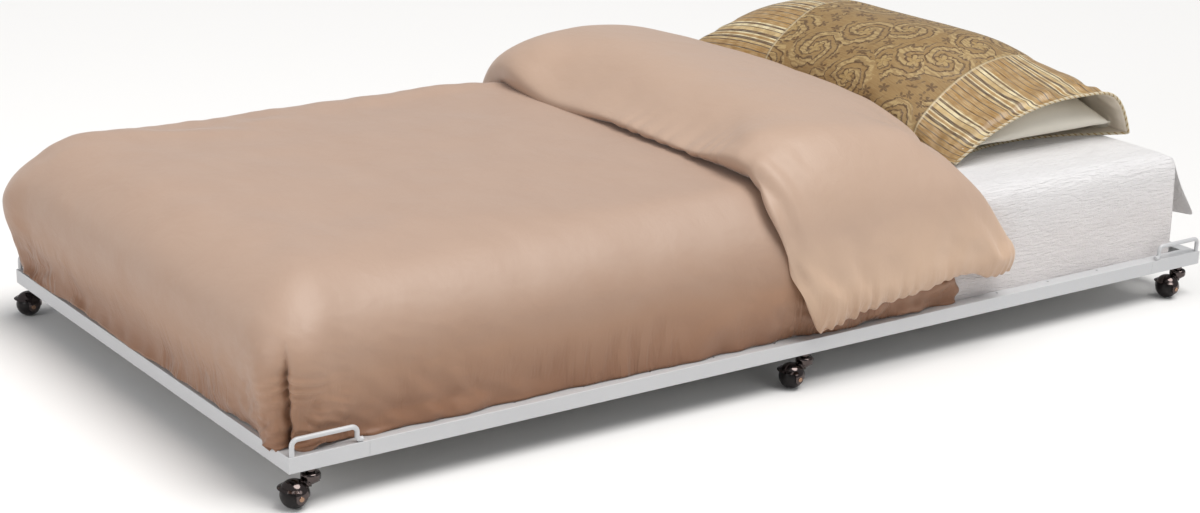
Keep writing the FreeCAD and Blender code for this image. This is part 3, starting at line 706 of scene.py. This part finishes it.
foldSetup = {
    "ring": 72, "rows": 92, "squareness": 2.5, "topRadius": 0.105, "half": 0.486, "rest": 0.320,
    # along the arch, from 0 at the near hem to 1 at the far hem
    "left": [(0, 0.016), (0.04, -0.022), (0.09, -0.052), (0.15, -0.075), (0.24, -0.075),
             (0.5, -0.062), (0.75, -0.05), (0.88, -0.01), (1, 0.01)],
    "right": [(0, 0.440), (0.03, 0.458), (0.06, 0.442), (0.1, 0.402), (0.15, 0.355),
              (0.2, 0.352), (0.25, 0.39), (0.36, 0.455), (0.5, 0.487), (0.8, 0.49), (1, 0.45)],
    "thick": [(0, 0.026), (0.05, 0.036), (0.12, 0.05), (0.22, 0.074), (0.5, 0.088), (0.8, 0.088),
              (0.92, 0.045), (1, 0.02)],
    "hem": [(0, 0.088), (0.2, 0.108), (0.5, 0.122), (0.74, 0.134), (0.9, 0.114), (1, 0.12)],
    "farHem": 0.11,
    "taper": 0.62,  # share of its thickness lost towards the pillow
    "thinEdge": 0.5,  # and lost at its foot-side edge in the middle of the bed
    "pillowDrop": 0.017, "footDrop": 0.014, "lean": 0.022,
    "slow": [(0.004, 6, 21), (0.0015, 17, 23)],
    "pucker": 0.0052, "longFold": 0.0055, "crimp": 0.0030,
    "puff": {"pressure": 2.5, "frames": 18, "cap": 0.009, "stiffness": 0.5, "spare": 0.02},
}


def archPath(share, half, bottomNear, bottomFar, top, radius):
    # point and outward direction on an arch over the bed, from the near hem to the far hem
    nearRise = top - radius - bottomNear
    farRise = top - radius - bottomFar
    span = 2 * (half - radius)
    bend = radius * math.pi / 2
    runs = (nearRise, bend, span, bend, farRise)
    walk = share * sum(runs)
    if walk <= runs[0]:
        return Vector((0, -half, bottomNear + walk)), Vector((0, -1, 0))
    walk -= runs[0]
    if walk <= runs[1]:
        angle = walk / radius
        out = Vector((0, -math.cos(angle), math.sin(angle)))
        return Vector((0, radius - half, top - radius)) + out * radius, out
    walk -= runs[1]
    if walk <= runs[2]:
        return Vector((0, radius - half + walk, top)), Vector((0, 0, 1))
    walk -= runs[2]
    if walk <= runs[3]:
        angle = walk / radius
        out = Vector((0, math.sin(angle), math.cos(angle)))
        return Vector((0, half - radius, top - radius)) + out * radius, out
    walk -= runs[3]
    return Vector((0, half, top - radius - walk)), Vector((0, 1, 0))


def addDuvetFold(setup, material):
    shape = tubeGrid(setup["ring"], setup["rows"], True)
    half = setup["half"]
    power = 2 / setup["squareness"]
    for vertex in shape.verts:
        share = vertex.co.z + 0.5
        angle = math.atan2(vertex.co.y, vertex.co.x)
        wide = math.copysign(abs(math.cos(angle)) ** power, math.cos(angle))
        tall = math.copysign(abs(math.sin(angle)) ** power, math.sin(angle))
        left = curveValue(share, setup["left"])
        right = curveValue(share, setup["right"])
        ends = min(share, 1 - share) / 0.03
        closing = math.sqrt(1 - (1 - min(ends, 1)) ** 2)
        u = (wide + 1) / 2
        onTop = smoothStep(share, 0.1, 0.25)
        thick = curveValue(share, setup["thick"])
        thick *= 1 - setup["taper"] * smoothStep(u, 0.35, 1.15) * onTop
        midBed = smoothStep(share, 0.22, 0.35) * (1 - smoothStep(share, 0.66, 0.8))
        thick *= 1 - setup["thinEdge"] * (1 - smoothStep(u, 0.0, 0.34)) * midBed
        hem = curveValue(u, setup["hem"])
        base, out = archPath(share, half, hem, setup["farHem"], setup["rest"],
                             setup["topRadius"])
        drop = setup["pillowDrop"] * smoothStep(u, 0.62, 0.9) * (0.5 + 0.5 * onTop)
        drop += setup["footDrop"] * smoothStep(-u, -0.35, -0.05) * smoothStep(share, 0.5, 0.66)
        rise = thick / 2 - drop + (thick / 2 + drop) * tall * closing
        place = base + out * rise
        place.x = left + (right - left) * u
        leaning = smoothStep(place.z, 0.12, 0.26) * smoothStep(-place.y, 0.3, 0.45)
        place.y += setup["lean"] * leaning
        vertex.co = place
    bmesh.ops.remove_doubles(shape, verts=shape.verts, dist=1e-5)
    bmesh.ops.recalc_face_normals(shape, faces=shape.faces)
    item = piece(shape, "duvet_turnback", material)

    def held(point):
        low = abs(point.y) > half - 0.01 and point.z < 0.15
        return 1.0 if low else 0.0

    puff(item, held, setup["puff"])

    reshape(item, lambda point, normal: normal * waves(point, setup["slow"]))
    refine(item, 1)
    baked(item)
    cutFiner(item, lambda point: point.y < -0.4 and point.z < 0.21)

    def gather(point, normal):
        # puckers that fade away from the near hem, and long folds at the left edge
        move = Vector((0, 0, 0))
        if point.y < -0.3:
            rise = point.z - curveValue(min(max(point.x / 0.44, 0), 1), setup["hem"])
            fade = fadeOut(rise, 0.024) * smoothStep(-point.y, 0.4, 0.46)
            wave = 1 - 1.7 * abs(math.sin(point.x * 120 + 5 * ripple(flatX(point), 14, 31)))
            wave += 0.8 * ripple(flatX(point), 60, 33)
            uneven = 0.7 + 0.6 * ripple(flatX(point), 9, 39) - 0.4 * smoothStep(point.x, 0.3, 0.42)
            move += normal * setup["pucker"] * fade * wave * uneven
            edge = fadeOut(point.x + 0.07, 0.045) * smoothStep(-point.y, 0.36, 0.43)
            fold = math.sin((point.x + 0.32 * point.z) * 120 + 2 * ripple(point, 7, 35))
            move += normal * setup["longFold"] * edge * fold * smoothStep(point.z, 0.12, 0.18)
        seam = fadeOut(point.x + 0.05, 0.03) * (1 - smoothStep(point.y, -0.1, 0.15))
        crimp = max(math.sin(point.y * 150 + 5 * ripple((0, point.y, 0), 11, 37)), -0.3)
        crimp *= 0.6 + ripple((0, point.y, 0), 7, 40)
        move -= normal * setup["crimp"] * seam * crimp * smoothStep(point.y, -0.46, -0.4)
        return move

    reshape(item, gather)
    refine(item, 1)
    return item


# one sateen in two copies with different painted light and shade: the turned-back end is painted
# lighter, lightest on its side
bodySateenPaintedShade = tanSateenPaintedShading("tan_sateen", (0.225, 0.103, 0.052), (0.37, 0.215, 0.135),
                       (0.445, 0.312, 0.238))
foldSateenPaintedLighter = tanSateenPaintedShading("tan_sateen_turned", (0.40, 0.238, 0.147), (0.60, 0.425, 0.305),
                       (0.485, 0.342, 0.258))
addMattress(mattressSetup)
addDuvetBody(duvetSetup, bodySateenPaintedShade)
addDuvetFold(foldSetup, foldSateenPaintedLighter)
print("mattress and duvet made")


# White cover: one cloth over the mattress, down both sides to the frame, with a short flap
# at each end and its corners cut out

coverSetup = {
    "sideDrop": 0.180, "endDrop": 0.100, "edge": 0.030, "cell": 0.016, "flare": 0.060,
    "lift": 0.0016, "cloth": 0.0014, "cornerGap": 0.004,
    "flapWaver": 0.006, "sideOut": 0.004, "crinkle": 0.0012,
}


def bendDown(walk, half, radius):
    # place and height on a line that runs to an edge and bends down over it
    flat = half - radius
    if abs(walk) <= flat:
        return walk, 0.0
    over = abs(walk) - flat
    bend = radius * math.pi / 2
    if over < bend:
        angle = over / radius
        return math.copysign(flat + radius * math.sin(angle), walk), radius * (math.cos(angle) - 1)
    return math.copysign(half, walk), -radius - (over - bend)


def addCover(setup, material):
    middle = (mattressLow + mattressHigh) / 2
    halfX = (mattressHigh.x - mattressLow.x) / 2 + setup["lift"]
    halfY = (mattressHigh.y - mattressLow.y) / 2 + setup["lift"]
    saved = (2 - math.pi / 2) * setup["edge"]
    reachX = halfX - saved + setup["endDrop"] + setup["edge"]
    reachY = halfY - saved + setup["sideDrop"] + setup["edge"]
    shape = bmesh.new()
    columns = round(2 * reachX / setup["cell"])
    rows = round(2 * reachY / setup["cell"])
    bmesh.ops.create_grid(shape, x_segments=columns, y_segments=rows, size=1)
    bmesh.ops.scale(shape, vec=(reachX, reachY, 1), verts=shape.verts)
    cutX = halfX - setup["cornerGap"]
    cutY = halfY - setup["cornerGap"]
    corners = [face for face in shape.faces
               if abs(face.calc_center_median().x) > cutX
               and abs(face.calc_center_median().y) > cutY]
    bmesh.ops.delete(shape, geom=corners, context="FACES")
    top = mattressHigh.z + setup["lift"]
    for vertex in shape.verts:
        x, fallX = bendDown(vertex.co.x, halfX, setup["edge"])
        y, fallY = bendDown(vertex.co.y, halfY, setup["edge"])
        place = Vector((middle.x + x, middle.y + y, top + min(fallX, fallY)))
        hang = max(-fallX - 0.02, 0) / setup["endDrop"]
        corner = smoothStep(abs(place.y), 0.30, 0.46)
        flare = setup["flare"] * hang ** 1.2 * (0.35 + 0.65 * corner)
        flare += setup["flapWaver"] * hang * ripple(place, 14, 41)
        place.x += flare if x > 0 else 0
        sideHang = smoothStep(-fallY, 0.02, 0.17) * smoothStep(place.x, 0.2, 0.4)
        place.y += math.copysign(setup["sideOut"] * sideHang * (1 + ripple(place, 9, 43)), y)
        crinkle = setup["crinkle"] * (1 + ripple(place, 12, 45))
        place.z += crinkle * (1 - sideHang) * (fallX > -0.01)
        vertex.co = place
    item = piece(shape, "white_cover", material)
    flatLength = 2 * reachX
    flatWidth = 2 * reachY
    cutAway = 4 * (reachX - halfX) * (reachY - halfY)
    refine(item, 1, setup["cloth"])
    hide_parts("fitted_sheet")
    flatWidth * flatLength - cutAway
    return item


addCover(coverSetup, crinkledCottonPaintedLight())
print("white cover draped")


# Pillow: a filled insert in a sham of damask and satin stripes, open at its near end, with a
# twisted cord sewn round the opening

pillowSetup = {
    "middleX": 0.681, "half": 0.222, "mouthY": -0.328, "farY": 0.500, "peak": 0.164,
    "segments": 96, "rows": 92, "wall": 0.0018, "hollow": 0.085,
    "mouthPeak": 0.096, "seam": 0.046, "mouthSeam": 0.010,
    "mouthGather": 0.0055, "farGather": 0.003, "dents": 0.0035,
    "puff": {"pressure": 2.2, "frames": 16, "cap": 0.007, "stiffness": 0.35, "spare": 0.03},
}

panelSetup = {"nearSeam": -0.165, "farSeam": 0.268, "slant": 0.16, "stripePitch": 0.122}

ropeSetup = {"strands": 3, "strand": 0.0014, "coil": 0.0014, "pitch": 0.013, "step": 0.0018}


def shamSection(u, v):
    # heights above the bed of the upper and lower cloth; v is 0 at the far seam, 1 at the mouth
    near = smoothStep(v, 0.62, 1)
    end = min(v / 0.30, 1)
    closing = (1 - (1 - end) ** 2.3) ** 0.5
    seam = pillowSetup["seam"] * (1 - near) + pillowSetup["mouthSeam"] * near
    if u < 0.35:
        leaning = 1 - abs((u - 0.35) / 1.35) ** 2.2
    else:
        leaning = 1 - abs((u - 0.35) / 0.65) ** 5
    dome = (1 - abs(u) ** 2.4) ** 0.72
    rise = pillowSetup["peak"] - (pillowSetup["peak"] - pillowSetup["mouthPeak"]) * near
    rise *= 1 - 0.10 * smoothStep(-u, 0, 1) * (1 - near)
    upper = seam + (rise - seam) * (dome * (1 - near) + max(leaning, 0) * near) * closing
    lower = seam - (seam - 0.0016) * (1 - abs(u) ** 6) ** 0.5
    return upper, lower


def shamPoint(angle, v, setup, inset=0.0):
    u = math.cos(angle)
    upper, lower = shamSection(u, v)
    y = setup["farY"] + (setup["mouthY"] - setup["farY"]) * v
    half = setup["half"] * (1 - 0.035 * math.sin(math.pi * min(v * 1.15, 1)))
    x = setup["middleX"] + (half - inset) * u
    top = angle <= math.pi
    z = upper - inset if top else lower + inset
    if not top:
        y += setup["hollow"] * smoothStep(v, 0.85, 1) * (1 - u * u) ** 0.7
    elif v < 0.2:
        y -= 0.012 * (1 - u * u) * (1 - v / 0.2)
    return Vector((x, y, bedTop + z))


def addSham(setup, materials):
    shape = tubeGrid(setup["segments"], setup["rows"], False)
    weave = shape.loops.layers.uv.new("weave")
    # cloth lengths, for the weave: across the pillow from its foot-side seam, and along it
    for face in shape.faces:
        middle = face.calc_center_median()
        under = middle.y < 0
        for loop in face.loops:
            place = loop.vert.co
            turn = math.atan2(place.y, place.x) % (2 * math.pi)
            if under and turn < 0.01:
                turn = 2 * math.pi
            if not under and turn > 1.5 * math.pi:
                turn = 0
            u = math.cos(turn)
            across = math.copysign(1 - (1 - abs(u)) ** 0.8, u) * 0.26
            if under:
                across = 0.9 - across
            along = setup["farY"] + (setup["mouthY"] - setup["farY"]) * (place.z + 0.5)
            loop[weave].uv = (across, along)
    for vertex in shape.verts:
        turn = math.atan2(vertex.co.y, vertex.co.x) % (2 * math.pi)
        vertex.co = shamPoint(turn, vertex.co.z + 0.5, setup)
    bmesh.ops.recalc_face_normals(shape, faces=shape.faces)
    item = piece(shape, "pillow_sham_cloth", materials[0])
    item.data.materials.append(materials[1])

    def held(point):
        if point.y < setup["mouthY"] + 0.02 or point.y > setup["farY"] - 0.02:
            return 1.0
        return 1.0 if point.z < bedTop + 0.012 else 0.0

    puff(item, held, setup["puff"])

    def pucker(point, normal):
        # gathers behind the opening and at the far seam, and slow dents
        fromMouth = point.y - setup["mouthY"]
        wave = math.sin(point.x * 330 + 3 * ripple(point, 12, 51))
        deep = setup["mouthGather"] * bell(fromMouth - 0.034, 0.02) * wave
        farWave = math.sin(point.x * 190 + 3 * ripple(point, 10, 53))
        deep += setup["farGather"] * bell(setup["farY"] - point.y, 0.05) * farWave
        up = smoothStep(point.z, bedTop + 0.02, bedTop + 0.05)
        slow = setup["dents"] * ripple(point, 9, 55) * smoothStep(fromMouth, 0.02, 0.08)
        return normal * (deep + slow) * up

    reshape(item, pucker)
    refine(item, 1)
    wall = item.modifiers.new("Wall", "SOLIDIFY")
    wall.thickness = setup["wall"]
    wall.offset = -1
    wall.material_offset = 1
    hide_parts("pillow_sham")
    return item


def addInsert(setup, material):
    shape = tubeGrid(64, 60, True)
    for vertex in shape.verts:
        turn = math.atan2(vertex.co.y, vertex.co.x) % (2 * math.pi)
        share = vertex.co.z + 0.5
        place = shamPoint(turn, min(share * 0.985, 0.985), setup, 0.010)
        fromMouth = (1 - share) / 0.12
        closing = (1 - (1 - min(fromMouth, 1)) ** 2.2) ** 0.5
        u = math.cos(turn)
        middleZ = bedTop + 0.035
        squeeze = 1 - 0.34 * smoothStep(u, 0.1, 1.0) * smoothStep(share, 0.6, 1)
        if place.z > middleZ:
            place.z = middleZ + (place.z - middleZ) * closing * squeeze
        else:
            place.z = middleZ + (place.z - middleZ) * closing
        place.x = setup["middleX"] + (place.x - setup["middleX"]) * (0.90 + 0.06 * closing)
        place.y = setup["farY"] - 0.014 + (setup["mouthY"] + 0.026 - setup["farY"]) * share
        vertex.co = place
    bmesh.ops.remove_doubles(shape, verts=shape.verts, dist=1e-5)
    bmesh.ops.recalc_face_normals(shape, faces=shape.faces)
    item = piece(shape, "pillow_filling", material)

    def held(point):
        return 0.0 if point.y < setup["mouthY"] + 0.12 and point.z > bedTop + 0.012 else 1.0

    puff(item, held, {**setup["puff"], "cap": 0.004})
    refine(item, 1)
    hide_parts("pillow_insert")
    return item


def resample(points, step):
    # evenly spaced points round a closed loop
    walk = []
    total = 0.0
    for start, end in zip(points, points[1:] + points[:1]):
        walk.append((total, start, end))
        total += (end - start).length
    count = round(total / step)
    out = []
    index = 0
    for number in range(count):
        target = total * number / count
        while index + 1 < len(walk) and walk[index + 1][0] <= target:
            index += 1
        begin, start, end = walk[index]
        out.append(start.lerp(end, (target - begin) / max((end - start).length, 1e-9)))
    return out


def addRope(setup, pillow, materials):
    # twisted strands laid along the sham's mouth
    ring = [shamPoint(2 * math.pi * n / 180, 1.0, pillow) for n in range(180)]
    path = resample([point + Vector((0, -0.001, 0.001)) for point in ring], setup["step"])
    middle = sum(path, Vector()) / len(path)
    for strand in range(setup["strands"]):
        curve = bpy.data.curves.new("strand", "CURVE")
        curve.dimensions = "3D"
        curve.bevel_depth = setup["strand"]
        curve.bevel_resolution = 1
        spline = curve.splines.new("POLY")
        spline.points.add(len(path) - 1)
        turns = round(len(path) * setup["step"] / setup["pitch"])
        for number, point in enumerate(path):
            along = (path[(number + 1) % len(path)] - path[number - 1]).normalized()
            out = point - middle
            out = (out - along * out.dot(along)).normalized()
            side = along.cross(out)
            angle = 2 * math.pi * (turns * number / len(path) + strand / setup["strands"])
            offset = (out * math.cos(angle) + side * math.sin(angle)) * setup["coil"]
            spline.points[number].co = (*(point + offset), 1)
        spline.use_cyclic_u = True
        loose = bpy.data.objects.new("strand", curve)
        scene.collection.objects.link(loose)
        graph = bpy.context.evaluated_depsgraph_get()
        mesh = bpy.data.meshes.new_from_object(loose.evaluated_get(graph))
        bpy.data.objects.remove(loose)
        mesh.materials.clear()
        mesh.materials.append(materials[strand % 2])
        for face in mesh.polygons:
            face.use_smooth = True
        item = bpy.data.objects.new(f"sham_rope_strand_{strand + 1}", mesh)
        scene.collection.objects.link(item)
        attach(item, "root")


def aroundSpots(cloth, place, scale):
    # distance and angle from the nearest of many scattered spots
    nearest = cloth.node("TexVoronoi", {"feature": "F1"}, {"Vector": place, "Scale": scale}, 2)
    offset = cloth.node("VectorMath", {"operation": "SUBTRACT"}, {0: place, 1: nearest})
    sideways = offset.separate(0)
    upward = offset.separate(1)
    return (sideways * sideways + upward * upward).math("SQRT"), upward.math("ARCTAN2", sideways)


satinSetup = {
    "gold": (0.37, 0.205, 0.055), "pale": (0.58, 0.41, 0.18),
    "cream": (0.76, 0.64, 0.39), "brown": (0.055, 0.021, 0.005),
    # one repeat of the stripes in order, with relative widths
    "bands": [("gold", 13), ("brown", 2.6), ("gold", 12), ("brown", 2.6), ("gold", 12),
              ("brown", 2.6), ("pale", 5), ("brown", 7), ("cream", 3), ("gold", 6), ("cream", 3),
              ("brown", 7), ("pale", 10), ("brown", 2.6), ("cream", 7), ("brown", 5),
              ("cream", 3), ("gold", 12), ("brown", 2.6)],
}


def stretchedNoise(cloth, weave, scale, size, detail):
    place = cloth.node("Mapping", {}, {"Vector": weave, "Scale": scale})
    return cloth.noise(place, size, detail)


def satinStripes(cloth, weave, paintedSheen, setup, pitch):
    # sharp bands along the pillow, with painted satin highlights and darker patches of painted
    # shade where the sheen is dull
    total = sum(width for name, width in setup["bands"])
    stops = []
    start = 0
    for name, width in setup["bands"]:
        stops.append((start / total, setup[name]))
        start += width
    beat = (weave.separate(0) / pitch + 10).math("FRACT")
    stripes = cloth.node("ValToRGB", {"stops": stops}, {"Fac": beat})
    stripes.socket.node.color_ramp.interpolation = "CONSTANT"
    paintedDullSheen = stretchedNoise(cloth, weave, (7, 16, 1), 3, 2)
    # painted highlight: streaks of the satin's sheen mixed in as pale cream, then patches of
    # painted shade where the sheen is dull
    stripes = cloth.mix(paintedSheen.above(0.60, 0.2) * 0.5, stripes, (0.80, 0.72, 0.52))
    return cloth.mix(paintedDullSheen.above(0.52, 0.12) * 0.45, stripes, (0.24, 0.13, 0.04))


def damask(cloth, weave, paintedSheen):
    # leaves that curl round scattered flowers, in brown and cream on gold, under a painted
    # satin highlight; also gives how high the figures stand
    drift = cloth.noise(weave, 13, 4, 0.62, 1.5)
    away, angle = aroundSpots(cloth, weave, 8.5)
    curl = (angle * 2 + away * 200 + drift * 10).sine()
    petals = (angle * 2.5).sine().size() * 0.010 + 0.005
    flower = 1 - (away - petals).above(0, 0.001)
    halo = 1 - ((away - petals - 0.004).size() - 0.0014).above(0, 0.0008)
    inReach = 1 - (away + drift * 0.04).above(0.078, 0.002)
    leaf = curl.above(0.15, 0.12) * inReach
    edge = (1 - ((curl + 0.10).size() - 0.42).above(0, 0.18)) * inReach
    smallAway, smallAngle = aroundSpots(cloth, weave, 27)
    sprigs = (smallAngle * 2.5).sine().size() * 0.010 + 0.002
    sprig = 1 - (smallAway - sprigs + drift * 0.006).above(0.003, 0.0008)
    hatch = ((weave.separate(0) + drift * 0.05) * 520).sine().above(0, 0.5)
    colour = cloth.mix(cloth.noise(weave, 26, 3), (0.205, 0.112, 0.034), (0.35, 0.218, 0.082))
    layers = [
        (sprig * (1 - inReach) * 0.85, (0.085, 0.034, 0.008)),
        (leaf * 0.8, (0.46, 0.325, 0.145)),
        (hatch * leaf * 0.5, (0.17, 0.08, 0.02)),
        (edge * 0.9, (0.075, 0.030, 0.007)),
        (flower * 0.75, (0.38, 0.245, 0.09)),
        (halo * 0.9, (0.08, 0.033, 0.008)),
        # painted highlight: the satin sheen streaks lighten the damask
        (paintedSheen.above(0.6, 0.2) * 0.3, (0.58, 0.45, 0.22)),
    ]
    for mask, tint in layers:
        colour = cloth.mix(mask, colour, tint)
    return colour, leaf + edge


def shamCloth(panels, satin):
    # damask in the middle, satin stripes at both ends, and a raised line along each seam
    cloth = Finish("damask_and_striped_satin")
    weave = cloth.node("UVMap", {"uv_map": "weave"})
    level = weave.separate(1) - weave.separate(0) * panels["slant"]
    fromNear = level - panels["nearSeam"]
    fromFar = level - panels["farSeam"]
    striped = ((fromNear * -1).above(0, 0.0006) + fromFar.above(0, 0.0006)).clamped()
    seams = [1 - side.size().above(0.0022, 0.0012) for side in (fromNear, fromFar)]
    seam = (seams[0] + seams[1]).clamped()
    # painted sheen: streaks that lay painted highlights on the stripes and the damask
    paintedSheen = stretchedNoise(cloth, weave, (60, 4, 1), 9, 3)
    thread = stretchedNoise(cloth, weave, (5, 1, 1), 420, 2)
    stripes = satinStripes(cloth, weave, paintedSheen, satin, panels["stripePitch"])
    figured, raised = damask(cloth, weave, paintedSheen)
    colour = cloth.mix(striped, figured, stripes)
    relief = raised * 0.35 * (1 - striped) + thread * 0.12 + seam * 0.9
    return cloth.set({
        "Base Color": cloth.mix(seam * 0.5, colour, (0.62, 0.52, 0.33)),
        "Roughness": 0.36 + 0.16 * thread - 0.06 * striped,
        "Sheen Weight": 0.04, "Normal": cloth.bump(relief, 0.0016, 0.8),
    })


def plainCotton(name, dark, light, rough):
    # one colour, a little cloudy, with a fine weave
    cloth = Finish(name)
    cloudy = cloth.noise(cloth.place(), 22, 3)
    weave = cloth.noise(cloth.place(), 900, 2)
    return cloth.set({
        "Base Color": cloth.mix(cloudy, dark, light), "Roughness": rough + 0.1 * weave,
        "Normal": cloth.bump(weave * 0.3 + cloudy, 0.0015, 0.5),
    })


shamCover = shamCloth(panelSetup, satinSetup)
shamLining = plainCotton("sham_lining", (0.76, 0.68, 0.57), (0.84, 0.77, 0.66), 0.7)
creamCotton = plainCotton("cream_cotton", (0.70, 0.66, 0.57), (0.76, 0.72, 0.63), 0.75)
ropeGold = plainCotton("rope_gold", (0.36, 0.24, 0.10), (0.45, 0.31, 0.14), 0.5)
ropeCream = plainCotton("rope_cream", (0.62, 0.55, 0.40), (0.70, 0.62, 0.46), 0.5)
addSham(pillowSetup, (shamCover, shamLining))
addInsert(pillowSetup, creamCotton)
addRope(ropeSetup, pillowSetup, (ropeCream, ropeGold))
print("pillow made")


# Plain floor under the object

floorSetup = {"size": 14, "colour": (0.84, 0.835, 0.83)}


def addFloor(setup):
    shape = bmesh.new()
    bmesh.ops.create_grid(shape, x_segments=1, y_segments=1, size=setup["size"])
    mesh = bpy.data.meshes.new("floor")
    shape.to_mesh(mesh)
    shape.free()
    floor = bpy.data.objects.new("floor", mesh)
    scene.collection.objects.link(floor)
    paper = Finish("pale_floor")
    mesh.materials.append(paper.set({"Base Color": setup["colour"], "Roughness": 0.9}))


addFloor(floorSetup)
